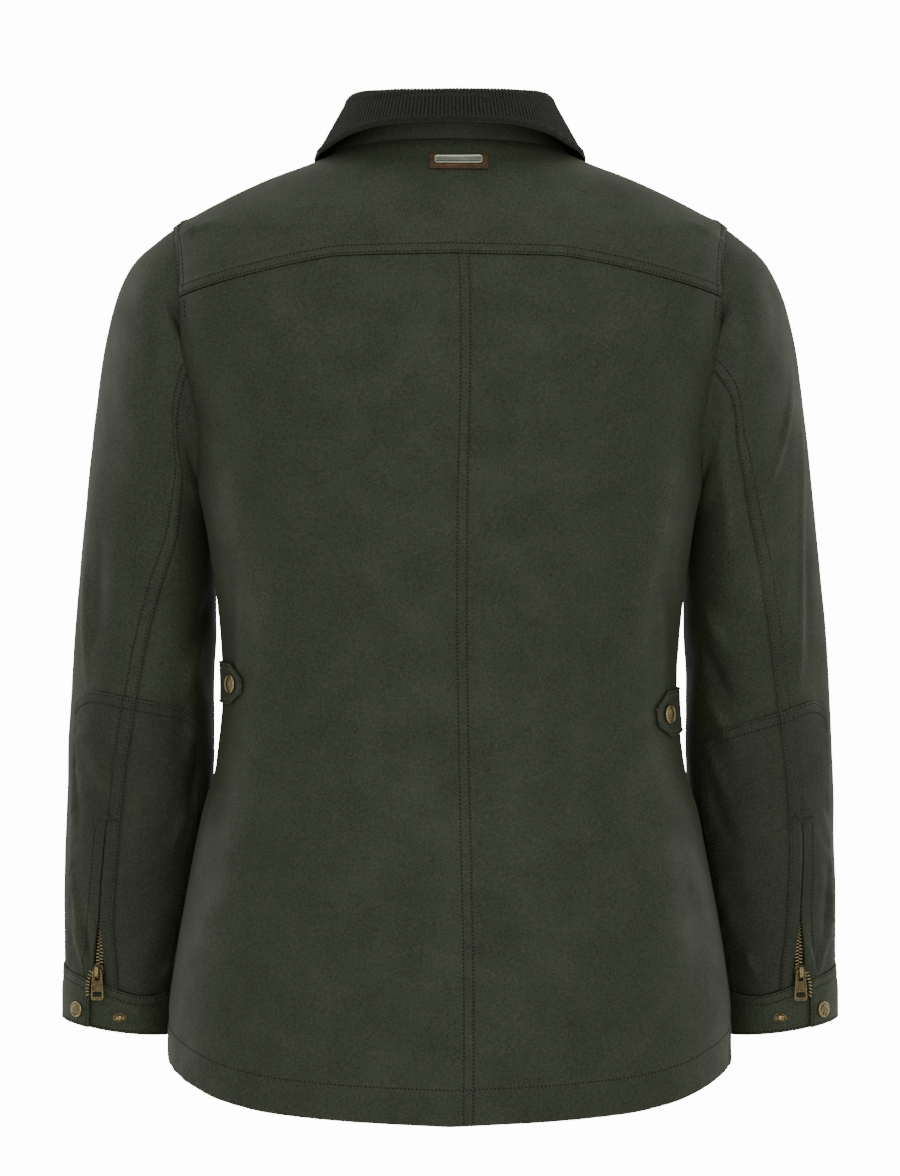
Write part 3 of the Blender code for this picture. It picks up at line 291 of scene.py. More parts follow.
WAIST_TABS = {
    Side.LEFT: TabShape(-408, -441, -411, -444, 71.5),
    Side.RIGHT: TabShape(-429, -464, -434, -471, 70.5),
}
COLLAR_SECTIONS = rows(
    CollarSection,
    (0, 74, 47, 91, 22), (30, 76, 47, 94, 20), (50, 78, 47, 99, 13.5), (70, 80, 45.2, 103, 2.5),
    (90, 80, 38, 106, -5), (115, 79, 18, 112, -22), (140, 84, -5, 105, -52), (160, 89, -27, 108, -92),
    (176, 93, -40, 110, -103))
BODY_CREASES = rows(
    Crease,
    (168, -300, 150, -420, 6, 9, 1.4), (-172, -290, -152, -410, -6, 9, 1.6),
    (176, -250, 172, -330, 3, 7, 1.2), (-178, -240, -172, -330, -3, 7, 1.2),
    (150, -100, 120, -190, 8, 12, 0.9), (-150, -105, -128, -200, -8, 12, 0.9),
    (172, -445, 120, -500, -8, 10, 1.2), (-168, -470, -118, -520, 8, 10, 1.2),
    (175, -430, 138, -446, 4, 6, 0.9), (-172, -452, -130, -470, -4, 6, 0.9),
    (165, -325, 169, -425, -2, 3.5, 1.1), (176, -330, 178, -440, 2, 5, -1.2),
    (-166, -350, -170, -440, 2, 3.5, 1.1), (-176, -330, -180, -440, -2, 5, -1.2),
    (182, -54, 228, -77, -2, 2.2, 1.7), (200, -52, 236, -74, -2, 1.8, -1.2),
    (-184, -55, -228, -77, 2, 2.2, 1.6), (120, -30, 96, -52, 3, 4, 0.5), (-112, -26, -92, -50, -3, 4, 0.5),
    (170, -690, 120, -725, 5, 6, 0.8), (-176, -660, -150, -740, -4, 8, 0.9),
    (60, -740, 20, -765, 2, 4, 0.5), (-70, -742, -110, -762, 2, 4, 0.5))

# ------------------------------------------------------------------ helpers

def mix(start: float, end: float, share: float) -> float:
    """The value a share of the way from start to end."""
    return start + (end - start) * share


def ease(share: float) -> float:
    """0 to 1 with a level start and end."""
    share = min(max(share, 0.0), 1.0)
    return share * share * (3.0 - 2.0 * share)


def bell(distance: float, width: float) -> float:
    """1 at no distance, falling softly to nothing past twice the width."""
    share = distance / width
    return math.exp(-share * share) if abs(share) < 3.0 else 0.0


class SmoothCurve:
    """A smooth curve through rows of a table that keeps to each pair of neighbours' range."""

    def __init__(self, keys: Sequence[float], values: Sequence[float]) -> None:
        """Work out the slopes at the keys.

        Args:
            keys: the table's keys, in any order.
            values: the value at each.
        """
        ordered = sorted(zip(keys, values))
        self.keys = [key for key, _ in ordered]
        self.values = [value for _, value in ordered]
        steps = [
            (self.values[i + 1] - self.values[i]) / (self.keys[i + 1] - self.keys[i])
            for i in range(len(self.keys) - 1)
        ]
        inner = [
            2.0 * before * after / (before + after) if before * after > 0.0 else 0.0
            for before, after in zip(steps, steps[1:])
        ]
        self.slopes = [steps[0]] + inner + [steps[-1]]

    def __call__(self, key: float) -> float:
        """The curve's value at a key, held at its ends.

        Args:
            key: the key.

        Returns:
            The value.
        """
        key = min(max(key, self.keys[0]), self.keys[-1])
        i = min(max(bisect.bisect_right(self.keys, key) - 1, 0), len(self.keys) - 2)
        span = self.keys[i + 1] - self.keys[i]
        u = (key - self.keys[i]) / span
        return (
            (2 * u**3 - 3 * u**2 + 1) * self.values[i]
            + (u**3 - 2 * u**2 + u) * span * self.slopes[i]
            + (3 * u**2 - 2 * u**3) * self.values[i + 1]
            + (u**3 - u**2) * span * self.slopes[i + 1]
        )


class SampledCurve:
    """A function of one value, worked out once at even steps and read between them."""

    def __init__(self, function: Line, low: float, high: float, steps: int = 600) -> None:
        """Work the function out.

        Args:
            function: the function.
            low: the lowest value it is worked out for.
            high: the highest.
            steps: how many even steps lie between.
        """
        self.low = low
        self.scale = steps / (high - low)
        self.steps = steps
        self.values = [function(mix(low, high, i / steps)) for i in range(steps + 1)]

    def __call__(self, key: float) -> float:
        """The function's value at a key, held at its ends.

        Args:
            key: the key.

        Returns:
            The value.
        """
        place = (key - self.low) * self.scale
        if place <= 0.0:
            return self.values[0]
        if place >= self.steps:
            return self.values[-1]
        i = int(place)
        before = self.values[i]
        return before + (self.values[i + 1] - before) * (place - i)


def columns_of(table: Sequence[NamedTuple], key: str | None = None) -> dict[str, SampledCurve]:
    """One smooth curve for each named column of a table.

    Args:
        table: its rows.
        key: the column that the others run over, or None for the row's number.

    Returns:
        The curves by column name.
    """
    keys = [getattr(row, key) if key else number for number, row in enumerate(table)]
    return {
        name: SampledCurve(SmoothCurve(keys, [getattr(row, name) for row in table]), min(keys), max(keys))
        for name in table[0]._fields if name != key
    }


# ------------------------------------------------------------------ surfaces

@dataclass
class BodyForm:
    """The outside of the body, a stack of level sections; angles are degrees from the centre back."""

    armhole_top: float = -62.0
    armhole_bottom: float = -268.0
    armhole_back_angle: float = 16.0
    armhole_front_angle: float = 19.0
    upper_squareness: float = 2.3
    lower_squareness: float = 1.65
    front_shoulder_angle: float = 99.0
    centre_back_angle: float = -8.2
    front_opening: float = 3.0
    seam_gap: float = 0.3
    section: dict[str, SampledCurve] = field(default_factory=lambda: columns_of(BODY_SECTIONS, "height"))
    neck: SampledCurve = field(default_factory=lambda: columns_of(NECK_SEAM, "angle")["height"])
    yoke: SampledCurve = field(default_factory=lambda: columns_of(YOKE_SEAM, "angle")["height"])
    hem: SampledCurve = field(default_factory=lambda: columns_of(HEM, "angle")["height"])
    side_seam: dict[str, SampledCurve] = field(default_factory=lambda: columns_of(SIDE_SEAM, "height"))

    def __post_init__(self) -> None:
        """Work out the armhole's middle and its reach."""
        self.armhole_middle = (self.armhole_top + self.armhole_bottom) / 2
        self.armhole_reach = (self.armhole_top - self.armhole_bottom) / 2

    def radius(self, angle: float, height: float) -> float:
        """How far the plain section is from its middle.

        Args:
            angle: degrees from the centre back.
            height: mm up.

        Returns:
            The distance in mm.
        """
        sine = abs(math.sin(math.radians(angle)))
        cosine = math.cos(math.radians(angle))
        middle = self.section["middle_y"](height)
        if cosine >= 0.0:
            depth = self.section["back_y"](height) - middle
        else:
            depth = middle - self.section["front_y"](height)
        share = ease(0.5 + 2.0 * cosine)
        squareness = mix(self.section["square_front"](height), self.section["square_back"](height), share)
        across = (sine / self.section["half_width"](height)) ** squareness
        through = (abs(cosine) / depth) ** squareness
        return (across + through) ** (-1.0 / squareness)

    def fold(self, angle: float, height: float, radius: float) -> float:
        """How far the large folds stand out at a place.

        Args:
            angle: degrees from the centre back.
            height: mm up.
            radius: the plain section's distance from its middle in mm.

        Returns:
            mm out.
        """
        total = 0.0
        for fold in BODY_FOLDS:
            along = (height - fold.place) / fold.half_length
            if abs(along) < 1.0:
                across = math.radians(angle - fold.angle - fold.lean * along) * radius / fold.half_width
                total += fold.rise * math.exp(-across * across) * (1.0 - along * along) ** 2
        return total

    def point(self, angle: float, height: float) -> Vector:
        """A point on the outside.

        Args:
            angle: degrees from the centre back.
            height: mm up.

        Returns:
            The point in metres.
        """
        radius = self.radius(angle, height)
        radius += self.fold(angle, height, radius)
        turn = math.radians(angle)
        middle = self.section["middle_y"](height)
        return Vector((radius * math.sin(turn), middle + radius * math.cos(turn), height)) * MM

    def normal(self, angle: float, height: float) -> Vector:
        """The outward normal.

        Args:
            angle: degrees from the centre back.
            height: mm up.

        Returns:
            The normal.
        """
        around = self.point(angle + 0.2, height) - self.point(angle - 0.2, height)
        up = self.point(angle, height + 0.4) - self.point(angle, height - 0.4)
        return -around.cross(up).normalized()

    def degrees(self, angle: float, height: float, distance: float) -> float:
        """The angle that a distance in mm along a level line spans."""
        step = (self.point(angle + 0.5, height) - self.point(angle - 0.5, height)).length
        return distance * MM / step

    def armhole_angle(self, height: float, half_angle: float) -> float:
        """How far the armhole reaches to one side of the side line.

        Args:
            height: mm up.
            half_angle: degrees that it reaches at its widest.

        Returns:
            Degrees.
        """
        squareness = self.upper_squareness if height > self.armhole_middle else self.lower_squareness
        share = min(abs(height - self.armhole_middle) / self.armhole_reach, 1.0)
        return half_angle * (1.0 - share**squareness) ** (1.0 / squareness)

    def armhole_upper(self, angle: float) -> float:
        """The armhole's upper edge.

        Args:
            angle: degrees from the centre back.

        Returns:
            Its height in mm.
        """
        half_angle = self.armhole_back_angle if angle < 90.0 else self.armhole_front_angle
        share = min(abs(angle - 90.0) / half_angle, 1.0)
        rise = (1.0 - share**self.upper_squareness) ** (1.0 / self.upper_squareness)
        return self.armhole_middle + self.armhole_reach * rise

    def armhole_point(self, turn: float, rise: float, inset: float) -> Vector:
        """A point near the left armhole's edge.

        Args:
            turn: 0 at the shoulder, 90 behind and 180 underneath.
            rise: mm out from the surface.
            inset: mm from the edge into the armhole, or under the body's cloth if it is less than 0.

        Returns:
            The point in metres.
        """
        sine = math.sin(math.radians(turn))
        cosine = math.cos(math.radians(turn))
        power = 2.0 / (self.upper_squareness if cosine > 0.0 else self.lower_squareness)
        half_angle = self.armhole_back_angle if sine > 0.0 else self.armhole_front_angle
        reach = self.armhole_reach - inset
        height = self.armhole_middle + reach * math.copysign(abs(cosine) ** power, cosine)
        half_angle -= inset / 3.5
        angle = 90.0 - half_angle * math.copysign(abs(sine) ** power, sine)
        return self.point(angle, height) + self.normal(angle, height) * rise * MM

    def side_edge(self, side: Side, height: float, is_back: bool) -> float:
        """Angle of a panel's outer edge: side seam, armhole and, in front, the shoulder seam.

        Args:
            side: the panel's side.
            height: mm up.
            is_back: whether the panel is a back.

        Returns:
            The signed angle from the centre back.
        """
        if height < self.armhole_bottom:
            edge = self.side_seam[side.word](height)
        else:
            half_angle = self.armhole_back_angle if is_back else self.armhole_front_angle
            reach = self.armhole_angle(height, half_angle)
            edge = 90.0 - reach if is_back else 90.0 + reach
            if not is_back and height > self.armhole_middle:
                edge = max(edge, self.front_shoulder_angle)
        gap = self.degrees(edge, height, self.seam_gap / 2)
        return side.value * (edge - gap if is_back else edge + gap)


@dataclass
class SleeveForm:
    """The outside of one sleeve; turn is 0 on its outer edge and 90 straight behind."""

    side: Side
    body: BodyForm
    head_station: float = 0.35
    head_fold: float = 0.55
    head_depth: float = -2.1
    head_rise: float = 0.35
    head_under: float = -5.0
    head_inset: float = 0.9
    head_fold_inset: float = 2.0
    seam_lap: float = 5.4
    slit_top: float = 10.45
    cuff_dip: float = 0.13
    armhole_fade: float = 3.0
    sleeve_end: float = 13.0
    cuff_start: float = 13.008
    cuff_end: float = 14.0
    front_seam_angle: float = 258.0
    section: dict[str, SampledCurve] = field(default_factory=lambda: columns_of(SLEEVE_SECTIONS))
    opening: SampledCurve = field(
        default_factory=lambda: columns_of(BACK_SEAM_OPENING, "station")["half_width"])

    def __post_init__(self) -> None:
        """Work out the height where the zip's slit begins."""
        self.slit_height = self.point(self.seam_angle(self.slit_top), self.slit_top).z / MM

    def section_point(self, turn: float, station: float) -> Vector:
        """A point of the left sleeve's plain section, before the armhole and the folds shape it.

        Args:
            turn: degrees round the section.
            station: the section's number, from the head down.

        Returns:
            The point in metres.
        """
        at = self.section
        outer = Vector((at["outer_x"](station), 0.0, at["outer_z"](station)))
        inner = Vector((at["inner_x"](station), 0.0, at["inner_z"](station)))
        sine = math.sin(math.radians(turn))
        cosine = math.cos(math.radians(turn))
        point = (outer + inner) / 2 + (outer - inner) / 2 * cosine
        point.y = at["middle_y"](station) + at["half_depth"](station) * sine
        point.z -= at["back_drop"](station) * sine
        return point * MM

    def fold(self, turn: float, station: float) -> float:
        """How far the large folds stand out at a place.

        Args:
            turn: degrees round the section.
            station: the section's number.

        Returns:
            mm out.
        """
        total = 0.0
        for fold in SLEEVE_FOLDS[self.side]:
            along = (station - fold.place) / fold.half_length
            if abs(along) < 1.0:
                apart = (turn - fold.angle - fold.lean * along + 180.0) % 360.0 - 180.0
                across = math.radians(apart) * 50.0 / fold.half_width
                total += fold.rise * math.exp(-across * across) * (1.0 - along * along) ** 2
        return total

    def point(self, turn: float, station: float) -> Vector:
        """A point on the outside, tucked into the armhole at the head.

        Args:
            turn: degrees round the section.
            station: the section's number.

        Returns:
            The point in metres.
        """
        deep = ease((min(abs(turn), 360.0 - abs(turn)) - 68.0) / 24.0)
        head_inset = mix(self.head_inset, self.head_fold_inset, deep)
        if station < self.head_station:
            share = station / self.head_station
            if share < self.head_fold:
                inset = mix(self.head_under, -0.6, share / self.head_fold)
                point = self.body.armhole_point(turn, self.head_depth, inset)
            else:
                share = (share - self.head_fold) / (1.0 - self.head_fold)
                floor = mix(-0.5, -3.4, deep)
                rise = mix(self.head_depth, floor, share * 2.0) if share < 0.5 else mix(
                    floor, self.head_rise, share * 2.0 - 1.0)
                inset = mix(-0.6, 0.15, share * 2.0) if share < 0.5 else mix(
                    0.15, head_inset, share * 2.0 - 1.0)
                point = self.body.armhole_point(turn, rise, inset)
        else:
            point = self.section_point(turn, station)
            fade = 1.0 - ease((station - self.head_station) / (self.armhole_fade - self.head_station))
            if fade > 0.0:
                head = self.section_point(turn, self.head_station)
                point += (self.body.armhole_point(turn, self.head_rise, head_inset) - head) * fade
        middle = (self.section_point(0.0, station) + self.section_point(180.0, station)) / 2
        point += (point - middle).normalized() * self.fold(turn, station) * MM
        return Vector((point.x * self.side.value, point.y, point.z))

    def normal(self, turn: float, station: float) -> Vector:
        """The outward normal.

        Args:
            turn: degrees round the section.
            station: the section's number.

        Returns:
            The normal.
        """
        low = max(station - 0.02, 0.0)
        around = self.point(turn + 0.5, station) - self.point(turn - 0.5, station)
        down = self.point(turn, station + 0.02) - self.point(turn, low)
        return around.cross(down).normalized() * -self.side.value

    def degrees(self, turn: float, station: float, distance: float) -> float:
        """The angle that a distance in mm round the sleeve spans."""
        step = (self.point(turn + 1.0, station) - self.point(turn - 1.0, station)).length
        return 2.0 * distance * MM / step

    def seam_angle(self, station: float) -> float:
        """Where the back seam and the cuff zip run."""
        return self.section["seam_angle"](station) + self.side.value * self.section["seam_twist"](station)

    def cuff_top(self, turn: float) -> float:
        """Station of the cuff's upper edge, which dips behind the wrist."""
        return self.cuff_start + self.cuff_dip * bell(turn - 108.0, 30.0)

    def lap(self, height: float) -> float:
        """How far the outer piece runs under the inner one at the back seam, in mm, at a height."""
        return self.seam_lap * ease((height - self.slit_height) / 6.0)

    def seam_edge(self, sign: int, lapped: bool = False) -> SampledCurve:
        """The edge of a sleeve piece at the back seam, over the stations.

        Args:
            sign: 1 for the inner piece's side of the seam and -1 for the outer piece's.
            lapped: whether the piece runs on under its neighbour.

        Returns:
            The edge's turn over the stations.
        """
        def edge(station: float) -> float:
            """Turn of the edge at a station."""
            seam = self.seam_angle(station)
            away = sign * self.opening(station)
            if lapped:
                away += self.lap(self.point(seam, station).z / MM)
            return seam + self.degrees(seam, station, away)

        return SampledCurve(edge, 0.0, self.cuff_end)

    def front_edge(self, sign: int, turned_back: float = 0.0) -> SampledCurve:
        """The edge of a sleeve piece at the front seam, over the stations.

        Args:
            sign: 1 for the piece past the seam and -1 for the piece before it.
            turned_back: degrees taken off, where a piece is counted from a turn earlier.

        Returns:
            The edge's turn over the stations.
        """
        def edge(station: float) -> float:
            """Turn of the edge at a station."""
            seam = self.front_seam_angle
            return seam + sign * self.degrees(seam, station, self.body.seam_gap / 2) - turned_back

        return SampledCurve(edge, 0.0, self.cuff_end)


@dataclass
class CollarForm:
    """The surface between the collar's two layers, from the neck seam over the fold to the leaf's edge."""

    body: BodyForm
    stand_end: float = 177.0
    point_end: float = 158.0
    fold_radius: float = 3.6
    clearance: float = 2.6
    root: float = -0.05
    section: dict[str, SampledCurve] = field(default_factory=lambda: columns_of(COLLAR_SECTIONS, "angle"))

    def clear_of_body(self, point: Vector, angle: float) -> Vector:
        """Move a point out where it would lie too close to the body.

        Args:
            point: the point in metres.
            angle: its degrees from the centre back.

        Returns:
            The point.
        """
        height = point.z / MM
        normal = self.body.normal(angle, height)
        outward = Vector((math.sin(math.radians(angle)), math.cos(math.radians(angle)), 0.0))
        apart = (point.dot(outward) / MM - self.body.radius(angle, height)) * normal.dot(outward)
        over = self.clearance - apart
        return point + normal * (over + math.sqrt(over * over + 4.0)) / 2.0 * MM

    def point(self, share: float, across: float) -> Vector:
        """A point in metres.

        Args:
            share: -1 to 1 round the neck.
            across: 0 at the neck seam, less under the body's cloth, and 1 at the leaf's edge.

        Returns:
            The point.
        """
        end = mix(self.stand_end, self.point_end, ease((across - 0.45) / 0.55))
        angle = abs(share) * end
        turn = math.radians(angle)
        outward = Vector((math.sin(turn), math.cos(turn), 0.0))
        seam = self.body.point(angle, self.body.neck(angle)) + Vector((0.0, 0.0, 0.6 * MM))
        fold = outward * self.section["fold_radius"](angle) * MM
        fold.z = self.section["fold_height"](angle) * MM
        edge = outward * self.section["edge_radius"](angle) * MM
        edge.z = self.section["edge_height"](angle) * MM
        radius = self.fold_radius * MM
        drop = Vector((0.0, 0.0, 1.4 * radius))
        inner_top = fold - outward * radius - drop
        outer_top = fold + outward * radius - drop
        if across < 0.0:
            point = seam + (Vector((0.0, 0.0, -5.0)) - outward * 2.2) * (across / self.root) * MM
        elif across < 0.40:
            point = seam.lerp(inner_top, across / 0.40)
        elif across < 0.52:
            swing = math.pi * (across - 0.40) / 0.12
            point = (inner_top + outer_top) / 2 - outward * radius * math.cos(swing)
            point.z += 1.4 * radius * math.sin(swing)
        else:
            u = (across - 0.52) / 0.48
            belly = outer_top.lerp(edge, 0.5) + Vector((0.0, 0.0, 1.5 * MM))
            point = outer_top * (1 - u) ** 2 + belly * 2 * u * (1 - u) + edge * u**2
            point = self.clear_of_body(point, angle)
        return Vector((math.copysign(point.x, share), point.y, point.z))

    def normal(self, share: float, across: float) -> Vector:
        """The normal to the cord side.

        Args:
            share: -1 to 1 round the neck.
            across: 0 at the neck seam to 1.

        Returns:
            The normal.
        """
        low, high = max(across - 0.01, 0.0), min(across + 0.01, 1.0)
        around = self.point(share + 0.004, across) - self.point(share - 0.004, across)
        over = self.point(share, high) - self.point(share, low)
        return around.cross(over).normalized()


# ------------------------------------------------------------------ materials

def srgb(code: str) -> tuple[float, ...]:
    """The linear colour of an sRGB hex code.

    Args:
        code: a hash and six digits.

    Returns:
        Red, green, blue and alpha.
    """
    values = (int(code[i:i + 2], 16) / 255.0 for i in (1, 3, 5))
    linear = (value / 12.92 if value <= 0.04045 else ((value + 0.055) / 1.055) ** 2.4 for value in values)
    return *linear, 1.0


def add_node(tree: Tree, kind: str, values: dict | None = None, output: int | str = 0,
             stops: Sequence[tuple[float, str]] = (), **settings: str) -> Socket:
    """Add a shader node with its settings, and values or links for its inputs.

    Args:
        tree: the node tree.
        kind: the node's type.
        values: by input name or number, a value or another node's output to link.
        output: the output that is wanted.
        stops: a colour ramp's places and hex colours, in order.
        settings: the node's own choices.

    Returns:
        The output's socket.
    """
    node = tree.nodes.new(f"ShaderNode{kind}")
    for name, value in settings.items():
        setattr(node, name, value)
    for name, value in (values or {}).items():
        if isinstance(value, Socket):
            tree.links.new(value, node.inputs[name])
        else:
            node.inputs[name].default_value = value
    for _ in stops[2:]:
        node.color_ramp.elements.new(0.5)
    for element, (place, code) in zip(node.color_ramp.elements if stops else (), stops):
        element.position, element.color = place, srgb(code)
    return node.outputs[output]


def start_material(name: str, values: dict) -> tuple[Material, Tree, Socket]:
    """A new material with its shader's own values set.

    Args:
        name: the material's name.
        values: the shader's sockets by name.

    Returns:
        The material, its tree and its Object coordinates.
    """
    material = bpy.data.materials.new(name)
    material.use_nodes = True
    tree = material.node_tree
    for socket, value in values.items():
        tree.nodes["Principled BSDF"].inputs[socket].default_value = value
    return material, tree, add_node(tree, "TexCoord", output="Object")


def dress(tree: Tree, pattern: Socket, stops: Sequence[tuple[float, str]], relief: Socket, strength: float,
          depth: float, shaded: bool = True) -> None:
    """Colour a material by one pattern and raise another in it.

    Args:
        tree: the material's tree.
        pattern: the value that the colour follows.
        stops: its places and hex colours.
        relief: the value that stands up.
        strength: how much of the relief shows.
        depth: its height in mm.
        shaded: whether the piece's shade attribute, its painted highlights and shade together with lighter
            and darker parts of its own, lights and darkens the colour.
    """
    shader = tree.nodes["Principled BSDF"]
    colour = add_node(tree, "ValToRGB", {"Fac": pattern}, stops=stops)
    if shaded:
        shade = add_node(tree, "Attribute", output="Color", attribute_name="shade")
        colour = add_node(tree, "Mix", {"Factor": 1.0, 6: colour, 7: shade}, 2, data_type="RGBA",
                          blend_type="MULTIPLY")
    bump = add_node(tree, "Bump", {"Height": relief, "Strength": strength, "Distance": depth * MM})
    tree.links.new(colour, shader.inputs["Base Color"])
    tree.links.new(bump, shader.inputs["Normal"])


@dataclass(frozen=True)
class WaxedCotton:
    """Plain-weave cotton dyed dark olive and waxed.

    The wax leaves it nearly matt with a soft bloom at grazing angles, and mottled in fine specks where
    it has cracked or lies thicker.
    """

    name: str = "waxed_cotton"
    deep: str = "#222718"
    middle: str = "#2f3523"
    bloom: str = "#3a402c"
    patch_grain: float = 38.0
    speck_grain: float = 1.7
    thread_pitch: float = 1.0  # real 0.5 mm, drawn at twice its size so that it shows

    def make(self) -> Material:
        """Build the material."""
        material, tree, places = start_material(self.name, {
            "Roughness": 0.62, "Specular IOR Level": 0.36, "Sheen Weight": 0.05, "Sheen Roughness": 0.45,
            "Sheen Tint": srgb("#c9d0b4")})
        specks = add_node(tree, "TexNoise", {
            "Vector": places, "Scale": 1.0 / (self.speck_grain * MM), "Detail": 2.0, "Roughness": 0.6})
        patches = add_node(tree, "TexNoise", {
            "Vector": places, "Scale": 1.0 / (self.patch_grain * MM), "Detail": 3.0, "Roughness": 0.55})
        fine = add_node(tree, "Math", {0: specks, 1: 0.8}, operation="MULTIPLY")
        broad = add_node(tree, "Math", {0: patches, 1: 0.2}, operation="MULTIPLY")
        mottle = add_node(tree, "Math", {0: fine, 1: broad}, operation="ADD")
        stops = ((0.34, self.deep), (0.50, self.middle), (0.68, self.bloom))
        dress(tree, mottle, stops, self.weave(tree, specks), 0.55, 0.30)
        waxy = add_node(tree, "MapRange", {
            "Value": patches, "From Min": 0.3, "From Max": 0.7, "To Min": 0.70, "To Max": 0.56})
        tree.links.new(waxy, tree.nodes["Principled BSDF"].inputs["Roughness"])
        return material

    def weave(self, tree: Tree, specks: Socket) -> Socket:
        """The relief of crossing threads, and of the cracked wax over them.

        Args:
            tree: the node tree.
            specks: the wax's fine pattern.

        Returns:
            The height's socket.
        """
        places = add_node(tree, "TexCoord", output="UV")
        across, along = (
            add_node(tree, "TexWave", {
                "Vector": places, "Scale": 0.314 / (self.thread_pitch * MM) / 2, "Distortion": 0.6,
                "Detail": 1.0, "Detail Scale": 1.0}, "Fac", bands_direction=direction)
            for direction in "XY")
        crossed = add_node(tree, "Math", {0: across, 1: along}, operation="MULTIPLY")
        shallow = add_node(tree, "Math", {0: crossed, 1: 0.4}, operation="MULTIPLY")
        return add_node(tree, "Math", {0: shallow, 1: specks}, operation="ADD")


@dataclass(frozen=True)
class Corduroy:
    """Fine-wale corduroy, cotton pile dyed near black-green.

    The pile takes in light and its tops catch a little.
    """

    name: str = "corduroy"
    deep: str = "#191b17"
    tops: str = "#2c2f28"
    pile_grain: float = 1.3

    def make(self) -> Material:
        """Build the material."""
        material, tree, places = start_material(self.name, {
            "Roughness": 0.88, "Specular IOR Level": 0.22, "Sheen Weight": 0.16, "Sheen Roughness": 0.4,
            "Sheen Tint": srgb("#aab09c")})
        pile = add_node(tree, "TexNoise", {
            "Vector": places, "Scale": 1.0 / (self.pile_grain * MM), "Detail": 2.0, "Roughness": 0.6})
        dress(tree, pile, ((0.35, self.deep), (0.66, self.tops)), pile, 0.5, 0.25)
        return material


@dataclass(frozen=True)
class Leather:
    """Vegetable-tanned leather, waxed brown: fine pores, darker towards its cut edges."""

    name: str = "brown_leather"
    deep: str = "#3a2915"
    light: str = "#644724"
    tone_grain: float = 5.0
    pore_grain: float = 1.2

    def make(self) -> Material:
        """Build the material."""
        material, tree, places = start_material(self.name, {"Roughness": 0.52, "Specular IOR Level": 0.42})
        tone = add_node(tree, "TexNoise", {
            "Vector": places, "Scale": 1.0 / (self.tone_grain * MM), "Detail": 3.0, "Roughness": 0.6})
        pores = add_node(tree, "TexVoronoi", {"Vector": places, "Scale": 1.0 / (self.pore_grain * MM)})
        dress(tree, tone, ((0.32, self.deep), (0.68, self.light)), pores, 0.35, 0.2)
        return material


@dataclass(frozen=True)
class Metal:
    """A cast and tumbled metal: darkened in the hollows, rubbed bright in small uneven marks."""

    name: str
    dark: str
    bright: str
    smooth: float
    rough: float
    grain: float = 2.4
    relief: float = 0.25
    shaded: bool = False

    def make(self) -> Material:
        """Build the material."""
        material, tree, places = start_material(self.name, {"Metallic": 1.0, "Roughness": self.rough})
        marks = add_node(tree, "TexNoise", {
            "Vector": places, "Scale": 1.0 / (self.grain * MM), "Detail": 4.0, "Roughness": 0.65})
        dress(tree, marks, ((0.36, self.dark), (0.64, self.bright)), marks, self.relief, 0.12, self.shaded)
        rubbed = add_node(tree, "MapRange", {
            "Value": marks, "From Min": 0.3, "From Max": 0.7, "To Min": self.rough, "To Max": self.smooth})
        tree.links.new(rubbed, tree.nodes["Principled BSDF"].inputs["Roughness"])
        return material


@dataclass(frozen=True)
class ZipTape:
    """Herringbone-woven polyester tape, near black: dull, with fine ribs along it."""

    name: str = "zip_tape"
    deep: str = "#15170f"
    light: str = "#23261c"
    rib_pitch: float = 1.2

    def make(self) -> Material:
        """Build the material."""
        material, tree, _ = start_material(self.name, {"Roughness": 0.85, "Specular IOR Level": 0.25})
        ribs = add_node(tree, "TexWave", {
            "Vector": add_node(tree, "TexCoord", output="UV"),
            "Scale": 0.314 / (self.rib_pitch * MM) / 2, "Distortion": 0.4}, "Fac", bands_direction="DIAGONAL")
        dress(tree, ribs, ((0.2, self.deep), (0.8, self.light)), ribs, 0.5, 0.2, False)
        return material


@dataclass(frozen=True)
class Thread:
    """Twisted core-spun sewing thread, dyed to the cloth: a fine twist that breaks the light."""

    name: str
    deep: str
    light: str
    twist: float = 0.8

    def make(self) -> Material:
        """Build the material."""
        material, tree, places = start_material(self.name, {"Roughness": 0.7, "Specular IOR Level": 0.3})
        strands = add_node(tree, "TexNoise", {
            "Vector": places, "Scale": 1.0 / (self.twist * MM), "Detail": 1.0, "Roughness": 0.5})
        dress(tree, strands, ((0.35, self.deep), (0.65, self.light)), strands, 0.4, 0.1, False)
        return material


@dataclass(frozen=True)
class StudioFloor:
    """A rolled paper floor: pale, even and quite matt."""

    name: str = "studio_floor"
    dim: str = "#f3f3f1"
    colour: str = "#f8f8f6"
    fibre_grain: float = 6.0

    def make(self) -> Material:
        """Build the material."""
        material, tree, places = start_material(self.name, {"Roughness": 0.9})
        fibres = add_node(tree, "TexNoise", {
            "Vector": places, "Scale": 1.0 / (self.fibre_grain * MM), "Detail": 2.0, "Roughness": 0.5})
        colour = add_node(tree, "ValToRGB", {"Fac": fibres}, stops=((0.3, self.dim), (0.7, self.colour)))
        tree.links.new(colour, tree.nodes["Principled BSDF"].inputs["Base Color"])
        return material


